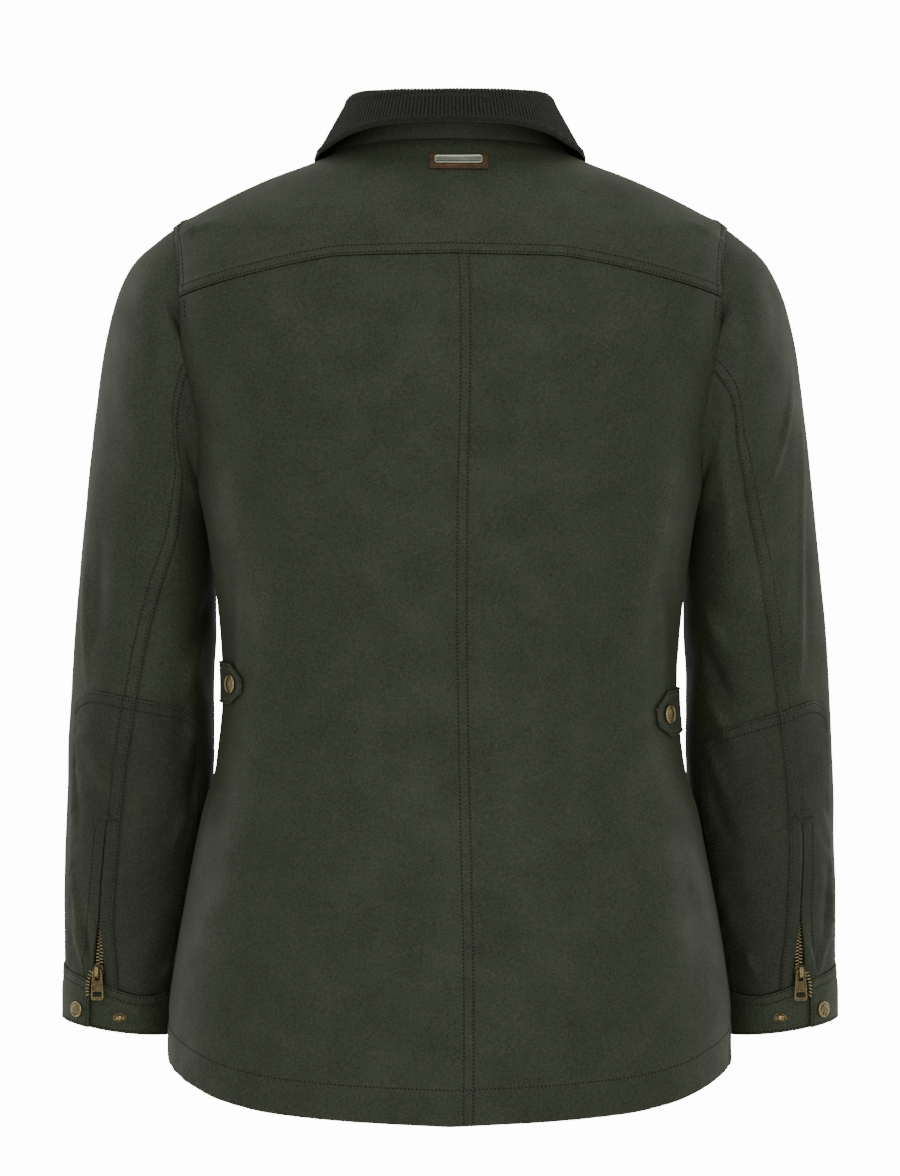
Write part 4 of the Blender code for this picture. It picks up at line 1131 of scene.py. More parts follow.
class Wardrobe:
    """Every finish on the jacket, made once."""

    def __init__(self) -> None:
        """Make the cloths, the leather, the metals and the threads."""
        self.waxed = WaxedCotton().make()
        self.cord = Corduroy().make()
        self.leather = Leather().make()
        self.tape = ZipTape().make()
        self.brass = Metal("antique_brass", "#4c432d", "#847756", 0.34, 0.46, 1.6, 0.15).make()
        self.rubbed = Metal("rubbed_brass", "#7d704b", "#bfb187", 0.24, 0.36, 1.2, 0.1).make()
        self.nickel = Metal("dull_nickel", "#b4b9a8", "#cdd2c0", 0.34, 0.40, 3.0, 0.04, True).make()
        self.thread = Thread("olive_thread", "#2d3125", "#464b3a").make()
        # Near black, laid between the stitches: painted shadow in the needle holes.
        self.dint = Thread("needle_dint", "#060705", "#0d0e0a").make()
        self.pebbled = Metal("pebbled_brass", "#3d3522", "#a4976e", 0.32, 0.46, 1.1, 0.9).make()
        self.tan_thread = Thread("tan_thread", "#4a3620", "#7a5c38").make()

    @property
    def metals(self) -> list[Material]:
        """The brasses, in the order that the hardware numbers them."""
        return [self.brass, self.pebbled, self.rubbed]


# ------------------------------------------------------------------ cloth

class Spot(NamedTuple):
    """A point of a piece of cloth: its place and normal, and mm to each edge along the cloth."""

    point: Vector
    normal: Vector
    start: float
    end: float
    low: float
    high: float

    def away(self, *edges: Edge) -> float:
        """mm from the nearest of some edges."""
        return min(getattr(self, edge.value) for edge in edges)


class GridLines(NamedTuple):
    """Grid lines across one direction: mm from both edges, and the pitch between."""

    near: tuple[float, ...]
    far: tuple[float, ...]
    pitch: float

    def places(self, length: float) -> list[tuple[str, float]]:
        """Every line's kind and value.

        Args:
            length: the mean length that they cross, in mm.

        Returns:
            (kind, value) pairs in order.
        """
        count = max(2, round((length - self.near[-1] - self.far[-1]) / self.pitch))
        lines = [("near", value) for value in self.near]
        lines += [("between", i / count) for i in range(1, count)]
        return lines + [("far", value) for value in reversed(self.far)]

    def fraction(self, line: tuple[str, float], length: float) -> float:
        """Where a line lies along a length.

        Args:
            line: its kind and value.
            length: the length in mm, less than both edges' lines where they are squeezed.

        Returns:
            The fraction.
        """
        kind, value = line
        edges = self.near[-1] + self.far[-1]
        squeeze = min(1.0, 0.8 * length / edges) if edges > 0.0 else 1.0
        if kind == "near":
            return value * squeeze / length
        if kind == "far":
            return 1.0 - value * squeeze / length
        return mix(self.near[-1] * squeeze / length, 1.0 - self.far[-1] * squeeze / length, value)


PLAIN_EDGE = (0.0, 1.0, 4.0)
FELL_EDGE = (0.0, 0.7, 1.3, 2.2, 4.0, 6.5, 8.2, 8.9, 9.4, 9.9, 10.4, 10.8, 11.3, 12.2, 14.0)
SEAM_EDGE = (0.0, 0.7, 1.3, 1.8, 2.4, 3.6, 5.8, 7.4, 7.9, 8.5, 9.2, 10.4, 13.0)
UNDER_EDGE = (0.0, 2.2, 4.0, 4.6, 5.2, 5.8, 7.0, 9.5)
HEAD_EDGE = (0.0, 2.4, 4.6, 5.0, 5.5, 6.2, 7.0, 7.8, 8.8, 10.5, 13.0)
SINGLE_EDGE = (0.0, 0.7, 1.5, 2.0, 2.6, 4.0, 6.5)
HEM_EDGE = (0.0, 0.8, 2.0, 5.0, 9.0, 13.0, 17.0, 21.0, 25.0, 27.6, 28.5, 29.0, 29.5, 30.4, 33.0, 36.5)


class SeamBand(NamedTuple):
    """A sewn band along an edge: stitch rows mm in from it, and how far the lapped cloth stands up.

    A felled band is crisp on its inner side, where the cloth below is turned over.
    """

    edge: Edge
    rows: tuple[float, ...] = (1.7, 8.2)
    width: float = 9.6
    rise: float = 0.8
    pucker: float = 0.45
    felled: bool = False
    # lip: how much painted highlight lies along the turned edge
    lip: float = 0.28

    def relief(self, away: float) -> float:
        """How far the band stands up, and its stitches sink in.

        Args:
            away: mm from its edge.

        Returns:
            mm up.
        """
        inner = away - self.width
        if self.felled:
            total = self.rise * ease(away / 2.4) * (1.0 - ease((inner + 0.4) / 0.8))
            total += 0.5 * self.rise * bell(inner + 1.0, 0.9) - 0.6 * self.rise * bell(inner - 0.8, 0.9)
        else:
            total = self.rise * (1.0 - ease((inner + 1.6) / 3.2))
            total -= 0.45 * self.rise * (1.0 - min(away / 0.9, 1.0)) ** 2
        return total - sum(0.24 * bell(away - row, 0.6) for row in self.rows)

    def shade(self, away: float) -> float:
        """How much lighter or darker the band is painted: painted shade in the stitch rows' grooves, a
        painted highlight along the turned edge, and on a felled band a painted highlight on its crisp edge, a
        painted shadow just past it and a little darker across its middle.

        Args:
            away: mm from its edge.

        Returns:
            What is added to the cloth's shade.
        """
        inner = away - self.width
        total = -sum(0.07 * bell(away - row, 0.8) for row in self.rows)
        if not self.felled:
            return total + self.lip * bell(away - 0.3, 0.8)
        total += 0.55 * bell(inner + 0.7, 0.8) - 0.42 * bell(inner - 0.8, 1.0)
        return total - 0.06 * ease((away - 1.0) / 1.5) * (1.0 - ease(inner + 2.0))


def lengths_along(points: Sequence[Vector]) -> list[float]:
    """How far along a line its points are.

    Args:
        points: the points in metres.

    Returns:
        mm from the first point to each.
    """
    lengths = [0.0]
    for one, two in zip(points, points[1:]):
        lengths.append(lengths[-1] + (two - one).length / MM)
    return lengths


def neighbours(samples: Sequence, fraction: float) -> tuple:
    """The samples of an even row on both sides of a place.

    Args:
        samples: the row.
        fraction: the place, 0 to 1.

    Returns:
        Both samples, and the share of the way between them.
    """
    place = min(max(fraction, 0.0), 1.0) * (len(samples) - 1)
    i = min(int(place), len(samples) - 2)
    return samples[i], samples[i + 1], place - i


def new_piece(name: str, form: Shape, materials: Sequence[Material]) -> bpy.types.Object:
    """A smooth-shaded piece made of a shape, which is freed.

    Args:
        name: the piece's name.
        form: the shape.
        materials: its finishes, by its faces' numbers.

    Returns:
        The object.
    """
    mesh = bpy.data.meshes.new(name)
    form.to_mesh(mesh)
    form.free()
    mesh.shade_smooth()
    for material in materials:
        mesh.materials.append(material)
    piece = bpy.data.objects.new(name, mesh)
    bpy.context.scene.collection.objects.link(piece)
    return piece


@dataclass
class Cloth:
    """One cut piece of cloth, built as a fine grid on its surface and thickened."""

    name: str
    surface: Surface
    outward: Vector
    across: GridLines
    up: GridLines
    bands: tuple[SeamBand, ...] = ()
    creases: tuple[Crease, ...] = ()
    thickness: float = 1.4
    lift: float = 0.0
    # A factor on the piece's whole colour; on the sleeve patches it is painted shade and on the cuffs painted
    # light.
    tone: float = 1.0
    extra: Callable[[Spot], float] | None = None
    shading: Callable[[Spot], float] | None = None
    seed: float = 0.0
    samples: int = 12
    fine_samples: int = 120
    band_reach: float = 34.0
    # mm from a band's edge that its painted highlights and shade reach
    wear_reach: float = 14.0

    def measure(self) -> None:
        """Measure the surface in mm along a few lines each way, to place grid lines by true lengths."""
        fine = [i / self.fine_samples for i in range(self.fine_samples + 1)]
        self.widths, self.heights, self.across_shares, self.up_shares = [], [], [], []
        for number in range(self.samples):
            step = number / (self.samples - 1)
            for points, sizes, shares in (
                    ([self.surface(s, step) for s in fine], self.widths, self.across_shares),
                    ([self.surface(step, t) for t in fine], self.heights, self.up_shares)):
                lengths = lengths_along(points)
                sizes.append(lengths[-1])
                shares.append(SampledCurve(
                    lambda share, lengths=lengths: self.invert(lengths, share * lengths[-1]), 0.0, 1.0, 240))

    def invert(self, lengths: list[float], length: float) -> float:
        """The fraction along a line at which it has a length.

        Args:
            lengths: mm to each of its points.
            length: mm.

        Returns:
            The fraction.
        """
        i = min(max(bisect.bisect_right(lengths, length) - 1, 0), len(lengths) - 2)
        span = lengths[i + 1] - lengths[i]
        return (i + (length - lengths[i]) / span if span > 0.0 else i) / (len(lengths) - 1)

    def unrolled(self, shares: list[SampledCurve], across: float, share: float) -> float:
        """The surface's fraction for a share of its true length, between the measured lines."""
        low, high, between_them = neighbours(shares, across)
        return mix(low(share), high(share), between_them)

    def lay_grid(self, form: Shape) -> list[tuple]:
        """Lay a grid on the surface, its lines at true distances from the edges.

        Args:
            form: the shape to make it in.

        Returns:
            Each point's column and row, and its distances in mm from the four edges.
        """
        mean_width = sum(self.widths) / len(self.widths)
        columns = self.across.places(mean_width)
        rows_up = self.up.places(sum(self.heights) / len(self.heights))
        last_column, last_row = len(columns) - 1, len(rows_up) - 1
        bmesh.ops.create_grid(form, x_segments=last_column, y_segments=last_row, size=0.5)
        form.verts.ensure_lookup_table()
        places = []
        for vertex in form.verts:
            i = round((vertex.co.x + 0.5) * last_column)
            j = round((vertex.co.y + 0.5) * last_row)
            rough = self.across.fraction(columns[i], mean_width)
            height = mix(*neighbours(self.heights, rough))
            up = self.up.fraction(rows_up[j], height)
            t = self.unrolled(self.up_shares, rough, up)
            width = mix(*neighbours(self.widths, t))
            along = self.across.fraction(columns[i], width)
            vertex.co = self.surface(self.unrolled(self.across_shares, t, along), t)
            places.append((i, j, along * width, (1.0 - along) * width, up * height, (1.0 - up) * height))
        form.normal_update()
        middle = min(range(len(places)), key=lambda number: abs(
            places[number][0] - (last_column + 1) // 2) + abs(places[number][1] - (last_row + 1) // 2))
        if form.verts[middle].normal.dot(self.outward) < 0.0:
            bmesh.ops.reverse_faces(form, faces=form.faces[:])
            form.normal_update()
        return places

    def build(self, material: Material) -> None:
        """Make the piece and its grid of spots.

        Args:
            material: its finish.
        """
        self.measure()
        form = bmesh.new()
        places = self.lay_grid(form)
        spots = [Spot(vertex.co.copy(), vertex.normal.copy(), *place[2:])
                 for vertex, place in zip(form.verts, places)]
        uv_layer = form.loops.layers.uv.new("cloth")
        shade_layer = form.verts.layers.float_color.new("shade")
        form.verts.index_update()
        for vertex, spot in zip(form.verts, spots):
            vertex.co = spot.point + spot.normal * (self.lift + self.relief(spot)) * MM
            shade = self.tone * self.shade(spot)
            vertex[shade_layer] = (shade, shade, shade, 1.0)
        for face in form.faces:
            for loop in face.loops:
                spot = spots[loop.vert.index]
                loop[uv_layer].uv = (spot.start * MM, spot.low * MM)
        form.normal_update()
        found = {place[:2]: spot._replace(point=vertex.co.copy(), normal=vertex.normal.copy())
                 for vertex, spot, place in zip(form.verts, spots, places)}
        columns, lines = (1 + max(place[axis] for place in places) for axis in (0, 1))
        self.grid = [[found[i, j] for i in range(columns)] for j in range(lines)]
        self.area = sum(face.calc_area() for face in form.faces)
        self.piece = new_piece(self.name, form, [material])
        shell = self.piece.modifiers.new("thickness", "SOLIDIFY")
        shell.thickness = self.thickness * MM
        shell.offset = -1.0
        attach(self.piece, BODY_NAME)

    def make(self, material: Material, node: str, slot: str, rests_on: tuple[str, ...] = (),
             held: str = "hung") -> Cloth:
        """Build the piece in place of a node.

        Args:
            material: its finish.
            node: the node it replaces.
            slot: not used.
            rests_on: not used.
            held: not used.

        Returns:
            The cloth itself.
        """
        self.build(material)
        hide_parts(node)
        return self

    def relief(self, spot: Spot) -> float:
        """How far the cloth stands off its surface.

        Args:
            spot: the place.

        Returns:
            mm out.
        """
        total = 0.5 * noise.noise(spot.point * 16.0) + 0.22 * noise.noise(spot.point * 47.0)
        for number, band in enumerate(self.bands):
            away = spot.away(band.edge)
            if away <= self.band_reach:
                along = spot.low if band.edge in (Edge.START, Edge.END) else spot.start
                place = Vector((along / 7.5, away / 26.0, self.seed + number * 7.3))
                total += band.relief(away)
                total += band.pucker * noise.noise(place) * math.exp(-((away / 15.0) ** 2))
        return total + self.folds(spot) + (self.extra(spot) if self.extra else 0.0)

    def folds(self, spot: Spot) -> float:
        """How far the creases lift the cloth at a spot, in mm."""
        return sum(crease_rise(crease, spot) for crease in self.creases)

    def shade(self, spot: Spot) -> float:
        """How light the cloth is.

        Args:
            spot: the place.

        Returns:
            The shade, 1 being its plain colour.
        """
        # Crease ridges lighter and troughs darker: painted highlight and painted shade, the ridges also
        # lighter where the wax rubs off them.
        total = 1.0 + max(-0.30, min(0.34, 0.16 * self.folds(spot)))
        # The bands add their painted highlights and shade near their edges.
        for band in self.bands:
            if spot.away(band.edge) < self.wear_reach:
                total += band.shade(spot.away(band.edge))
        return total * (self.shading(spot) if self.shading else 1.0)

    def seat(self, points: Sequence[Vector]) -> list[Spot]:
        """The spots of the finished cloth that are nearest to some points.

        Args:
            points: the points in metres.

        Returns:
            Spots with the distance to each point as their start.
        """
        data = self.piece.data
        tree = BVHTree.FromPolygons([vertex.co for vertex in data.vertices],
                                    [face.vertices[:] for face in data.polygons])
        found = [tree.find_nearest(point) for point in points]
        return [Spot(place, normal, distance, 0.0, 0.0, 0.0) for place, normal, _, distance in found]

    def line(self, edge: Edge, inset: float) -> list[Spot]:
        """The spots of a line that runs along an edge.

        Args:
            edge: the edge.
            inset: mm in from it.

        Returns:
            Spots of the finished cloth.
        """
        found = []
        for line in self.grid if edge in (Edge.START, Edge.END) else zip(*self.grid):
            for one, two in zip(line, line[1:]):
                first, second = one.away(edge) - inset, two.away(edge) - inset
                if first == 0.0 or first * second < 0.0:
                    found.append(blend_spots(one, two, first / (first - second) if first != second else 0.0))
                    break
        return found


def blend_spots(one: Spot, two: Spot, share: float) -> Spot:
    """The spot between two.

    Args:
        one: the first.
        two: the second.
        share: the share of the way.

    Returns:
        The spot.
    """
    return Spot(
        one.point.lerp(two.point, share), one.normal.lerp(two.normal, share).normalized(),
        *(mix(a, b, share) for a, b in zip(one[2:], two[2:])))


def sink(away: float, under: float) -> float:
    """How deep a piece's edge lies under its neighbour, in mm, away mm from the edge."""
    return 1.9 * (1.0 - ease((away - under + 0.7) / 1.4))


def full_underarm(spot: Spot) -> float:
    """How far sleeve and side stand out to meet each other under the arm, in mm."""
    x, z = abs(spot.point.x) / MM, spot.point.z / MM
    return 2.8 * bell(z + 271.0, 15.0) * bell(x - 201.0, 8.0)


def crease_rise(crease: Crease, spot: Spot) -> float:
    """How far a crease lifts the cloth at a spot.

    Args:
        crease: the crease, as seen from straight behind or in front.
        spot: the spot.

    Returns:
        mm out from the cloth.
    """
    x, z = spot.point.x / MM, spot.point.z / MM
    reach = 2.6 * crease.width + abs(crease.bow)
    if not min(crease.x, crease.end_x) - reach < x < max(crease.x, crease.end_x) + reach:
        return 0.0
    if not min(crease.z, crease.end_z) - reach < z < max(crease.z, crease.end_z) + reach:
        return 0.0
    facing = ease((crease.facing.value * spot.normal.y + 0.1) / 0.4)
    along_x, along_z = crease.end_x - crease.x, crease.end_z - crease.z
    length = math.hypot(along_x, along_z)
    u = ((x - crease.x) * along_x + (z - crease.z) * along_z) / length**2
    if facing == 0.0 or not 0.0 < u < 1.0:
        return 0.0
    off = ((x - crease.x) * along_z - (z - crease.z) * along_x) / length
    off -= crease.bow * 4.0 * u * (1.0 - u)
    fade = math.sin(math.pi * u) ** 0.8
    return crease.rise * facing * fade * bell(off, crease.width * (0.65 + 0.35 * fade))


# ------------------------------------------------------------------ sewing

@dataclass
class Sewing:
    """Stitches along lines of cloth, gathered into one piece for a sub-assembly.

    Each is a bump of thread, and between them a near-black oval paints the shadow in the needle's hole.
    """

    name: str
    pitch: float = 3.1
    length: float = 2.1
    width: float = 0.75
    height: float = 0.5
    slant: float = 0.0
    # The near-black oval between stitches, which paints the shadow in the needle's hole.
    hole_length: float = 1.55
    hole_width: float = 1.3
    hole_height: float = 0.34
    rise: float = 0.12
    with_holes: bool = True

    def __post_init__(self) -> None:
        """Make the bump of thread and the near-black oval of painted hole shadow that are laid again and
        again.
        """
        self.form = bmesh.new()
        self.shapes = []
        self.count = 0
        for number in range(2):
            shape = bmesh.new()
            bmesh.ops.create_uvsphere(shape, u_segments=6, v_segments=4 - number, radius=0.5)
            bmesh.ops.rotate(shape, verts=shape.verts[:], matrix=Matrix.Rotation(math.pi / 2, 3, "Y"))
            for face in shape.faces:
                face.material_index = number
            mesh = bpy.data.meshes.new(f"{self.name}_stitch_{number}")
            shape.to_mesh(mesh)
            shape.free()
            self.shapes.append(mesh)

    def place(self, point: Vector, along: Vector, normal: Vector, size: tuple[float, ...],
              number: int) -> None:
        """Lay one shape on the cloth, its long side along.

        Args:
            point: its middle.
            along: the row's direction.
            normal: away from the cloth.
            size: its length, width and height in mm.
            number: 0 for thread and 1 for the near-black oval of painted shadow in the needle's hole.
        """
        side = normal.cross(along).normalized()
        turn = Matrix((along, side, normal)).transposed().to_4x4()
        matrix = Matrix.Translation(point + normal * self.rise * MM) @ turn
        matrix = matrix @ Matrix.Rotation(self.slant, 4, "Z")
        matrix = matrix @ Matrix.Diagonal((*(value * MM for value in size), 1.0))
        shape = self.shapes[number]
        shape.transform(matrix)
        self.form.from_mesh(shape)
        shape.transform(matrix.inverted())
        self.count += number == 0

    def sew(self, spots: list[Spot], skip: float = 0.0) -> None:
        """Sew along a line of spots.

        Args:
            spots: the line on the cloth.
            skip: mm left bare at both ends.
        """
        if len(spots) < 2:
            return
        lengths = lengths_along([spot.point for spot in spots])
        count = int((lengths[-1] - skip - skip) / self.pitch)
        for number in range(2 * count if self.with_holes else count):
            step = number * 0.5 if self.with_holes else number
            place = skip + (step + 0.5) * self.pitch
            i = min(max(bisect.bisect_right(lengths, place) - 1, 0), len(spots) - 2)
            span = lengths[i + 1] - lengths[i]
            if span < 1e-6:
                continue
            spot = blend_spots(spots[i], spots[i + 1], (place - lengths[i]) / span)
            along = (spots[i + 1].point - spots[i].point).normalized()
            along = (along - spot.normal * along.dot(spot.normal)).normalized()
            # Every other shape is the near-black oval of painted shadow in a needle hole.
            if self.with_holes and number % 2:
                size = (self.hole_length, self.hole_width, self.hole_height)
                self.place(spot.point, along, spot.normal, size, 1)
            else:
                self.place(spot.point, along, spot.normal, (self.length, self.width, self.height), 0)

    def sew_edge(self, cloth: Cloth, edge: Edge, *insets: float, low: float = -1000.0,
                 high: float = 1000.0) -> None:
        """Sew rows along an edge of a piece.

        Args:
            cloth: the piece.
            edge: the edge.
            insets: mm in from the edge, for each row.
            low: height in mm where they start.
            high: height in mm where they end.
        """
        for inset in insets:
            self.sew([spot for spot in cloth.line(edge, inset) if low <= spot.point.z / MM <= high])

    def finish(self, thread: Material, dint: Material, slot: str = "waxed_cotton") -> None:
        """Make the gathered stitches one piece.

        Args:
            thread: the thread's finish.
            dint: the near-black finish that paints the shadow in the needle holes.
            slot: not used.
        """
        piece = new_piece(self.name, self.form, [thread, dint])
        for shape in self.shapes:
            bpy.data.meshes.remove(shape)
        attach(piece, BODY_NAME)
        LOG.info("%s: %d stitches", self.name, self.count)


# ------------------------------------------------------------------ body shell

@dataclass
class BodyShell:
    """The two backs, the yoke and the two fronts, with their sewing."""

    form: BodyForm
    wardrobe: Wardrobe
    pitch: float = 3.6
    front_pitch: float = 6.0
    hem_depth: float = 29.0
    underlap: float = 5.0
    straight_share: float = 0.7
    side_sewing_top: float = -596.0
    armhole_sewing_end: float = -137.0
    armhole_steps: int = 90
    armhole_rows: tuple[float, float] = (1.4, 7.6)
    seam_rows: tuple[float, float] = (1.7, 8.2)
    centre_rows: tuple[float, float] = (1.2, 8.7)
    front_crease_drops: tuple[float, float] = (12.0, 20.0)

    def edge_angles(self, edge: Line, level: Surface) -> SampledCurve:
        """The angles where an edge meets the rows, whose heights depend on the angle.

        Args:
            edge: the edge's angle at a height.
            level: a row's height at an angle.

        Returns:
            The angle over the rows.
        """
        def meet(t: float) -> float:
            """Where the edge meets one row, found by trying again from the last try."""
            angle = edge(self.form.armhole_bottom)
            for _ in range(8):
                angle = edge(level(angle, t))
            return angle

        return SampledCurve(meet, 0.0, 1.0, 400)

    def panel_surface(self, start: Line, end: Line, top: Line) -> Surface:
        """The surface of a panel between two side edges, its hem and its top.

        Args:
            start: angle of its first edge at a height.
            end: angle of its other edge at a height.
            top: height of its top edge at an angle.

        Returns:
            A function of two fractions that gives a point.
        """
        share, bottom = self.straight_share, self.form.armhole_bottom

        def level(angle: float, t: float) -> float:
            """Height of a row at an angle."""
            if t < share:
                return mix(self.form.hem(abs(angle)), bottom, t / share)
            return mix(bottom, top(abs(angle)), (t - share) / (1.0 - share))

        first, last = self.edge_angles(start, level), self.edge_angles(end, level)

        def surface(s: float, t: float) -> Vector:
            """A point of the panel."""
            angle = mix(first(t), last(t), s)
            return self.form.point(angle, level(angle, t))

        return surface

    def cut(self, node: str, surface: Surface, across: GridLines, up: GridLines, bands: tuple[SeamBand, ...],
            creases: tuple[Crease, ...], rests_on: str, held: str = "hung", **looks: object) -> Cloth:
        """Build one piece of the body in place of its node.

        Args:
            node: the node.
            surface: the piece's surface.
            across: its grid lines across.
            up: its grid lines up.
            bands: its sewn edges.
            creases: its creases.
            rests_on: the piece that carries it.
            held: how it is held.
            looks: its other settings.

        Returns:
            The cloth.
        """
        point = surface(0.5, 0.5)
        cloth = Cloth(f"{node}_cloth", surface, Vector((point.x, point.y, 0.0)), across, up, bands, creases,
                      **looks)
        return cloth.make(self.wardrobe.waxed, node, "waxed_cotton", (rests_on,), held)

    def back(self, side: Side) -> Cloth:
        """One back panel, from the centre back to the side seam.

        Args:
            side: the panel's side.

        Returns:
            The cloth.
        """
        form = self.form
        is_left = side is Side.LEFT

        def middle(height: float) -> float:
            """Angle of the centre back seam, which the right panel runs under."""
            gap = form.seam_gap / 2 if is_left else self.underlap
            return form.centre_back_angle + form.degrees(0.0, height, gap)

        def sunk(spot: Spot) -> float:
            """How the panel fills out under the arm and dips under the yoke and the left panel."""
            dip = 0.0 if is_left else sink(spot.start, self.underlap - 1.1)
            return full_underarm(spot) - (sink(spot.high, self.underlap) + dip)

        bands = (SeamBand(Edge.LOW, (self.hem_depth,), self.hem_depth + 1.0, 0.7, 1.2),
                 SeamBand(Edge.END, (1.2, 7.2), 8.4, 0.3, 0.3))
        if is_left:
            bands += (SeamBand(Edge.START, self.centre_rows, 9.6, 0.2, 0.3, lip=0.0),)
        return self.cut(
            f"back_panel_{side.word}",
            self.panel_surface(middle, lambda height: form.side_edge(side, height, True),
                               lambda angle: form.yoke(angle) + self.underlap),
            GridLines(SEAM_EDGE if is_left else UNDER_EDGE, SEAM_EDGE, self.pitch),
            GridLines(HEM_EDGE, UNDER_EDGE, self.pitch), bands, BODY_CREASES, "back_yoke_cloth",
            seed=3.1 * side.value, extra=sunk)

    def front(self, side: Side) -> Cloth:
        """One front, from the zip to the side seam, the armhole and the shoulder seam.

        Args:
            side: the front's side.

        Returns:
            The cloth.
        """
        form = self.form

        def middle(height: float) -> float:
            """Angle of the edge at the zip."""
            return side.value * (180.0 - form.degrees(180.0, height, form.front_opening))

        def lap(height: float) -> float:
            """How far the front runs under the back at the side seam, in mm."""
            return self.underlap * ease((form.armhole_bottom - height) / 25.0)

        def outer(height: float) -> float:
            """Angle of the outer edge."""
            edge = form.side_edge(side, height, False)
            return edge - side.value * form.degrees(edge, height, lap(height))

        def sunk(spot: Spot) -> float:
            """How the front fills out under the arm and dips under the back."""
            under = lap(spot.point.z / MM)
            return full_underarm(spot) - (sink(spot.end, under) if under > 0.5 else 0.0)

        start_drop, end_drop = self.front_crease_drops
        creases = tuple(
            crease._replace(facing=Facing.FRONT, z=crease.z - start_drop, end_z=crease.end_z - end_drop)
            for crease in BODY_CREASES)
        return self.cut(
            f"front_panel_{side.word}", self.panel_surface(middle, outer, form.neck),
            GridLines(SEAM_EDGE, UNDER_EDGE, self.front_pitch),
            GridLines(HEM_EDGE, PLAIN_EDGE, self.front_pitch),
            (SeamBand(Edge.LOW, (self.hem_depth,), self.hem_depth + 1.0, 0.7, 1.2),
             SeamBand(Edge.START, self.seam_rows, 9.6, 0.6, 0.4)),
            creases, "back_yoke_cloth", seed=9.7 * side.value, extra=sunk)

    def yoke(self) -> Cloth:
        """The yoke, from the back seam over both shoulders to the front shoulder seams."""
        form = self.form
        end = form.front_shoulder_angle - form.degrees(90.0, -20.0, form.seam_gap / 2)

        def surface(s: float, t: float) -> Vector:
            """A point of the yoke."""
            angle = mix(-end, end, s)
            lower = max(form.yoke(abs(angle)), form.armhole_upper(abs(angle)))
            return form.point(angle, mix(lower, form.neck(abs(angle)), t))

        def settled(spot: Spot) -> float:
            """How the yoke lies lower along the armhole."""
            at_armhole = ease((abs(spot.point.x) / MM - 214.0) / 5.0)
            return -0.6 * at_armhole * (1.0 - ease((spot.low - 8.8) / 1.6))

        return self.cut(
            "back_yoke", surface, GridLines(SEAM_EDGE, SEAM_EDGE, 3.4), GridLines(SEAM_EDGE, PLAIN_EDGE, 3.2),
            (SeamBand(Edge.LOW, self.seam_rows, 9.6, 0.95, 0.4),), BODY_CREASES, "collar_under_cloth",
            "draped", seed=1.3, tone=1.06, extra=settled)

    def sew_armhole(self, sewing: Sewing, side: Side, yoke: Cloth, back: Cloth, inset: float) -> None:
        """Sew one row round the back of an armhole, over the yoke and on down the back panel.

        Args:
            sewing: what the stitches are gathered in.
            side: the armhole's side.
            yoke: the yoke.
            back: the back panel.
            inset: mm from the armhole's edge.
        """
        points = []
        for step in range(self.armhole_steps):
            turn = mix(3.0, 80.0, step / (self.armhole_steps - 1))
            point = self.form.armhole_point(turn, 0.8, -inset)
            point.x *= side.value
            if point.z / MM > self.armhole_sewing_end:
                points.append(point)
        pairs = list(zip(yoke.seat(points), back.seat(points)))
        sewing.sew([one for one, two in pairs if one.start <= two.start])
        sewing.sew([two for one, two in pairs if one.start > two.start])

    def build(self) -> None:
        """Build the shell and sew it."""
        yoke = self.yoke()
        sewing = Sewing("body_sewing")
        armholes = Sewing("armhole_sewing", pitch=3.9, length=2.3, hole_length=1.8, hole_width=1.5)
        sewing.sew_edge(yoke, Edge.LOW, *self.seam_rows)
        for side in Side:
            back = self.back(side)
            front = self.front(side)
            sewing.sew_edge(back, Edge.LOW, self.hem_depth)
            sewing.sew_edge(front, Edge.LOW, self.hem_depth)
            for inset in self.armhole_rows:
                self.sew_armhole(armholes, side, yoke, back, inset)
            if side is Side.RIGHT:
                sewing.sew_edge(back, Edge.END, *self.armhole_rows, high=self.side_sewing_top)
            sewing.sew_edge(front, Edge.START, *self.seam_rows)
            if side is Side.LEFT:
                sewing.sew_edge(back, Edge.START, *self.centre_rows)
        for gathered in (sewing, armholes):
            gathered.finish(self.wardrobe.thread, self.wardrobe.dint)


# ------------------------------------------------------------------ sleeves

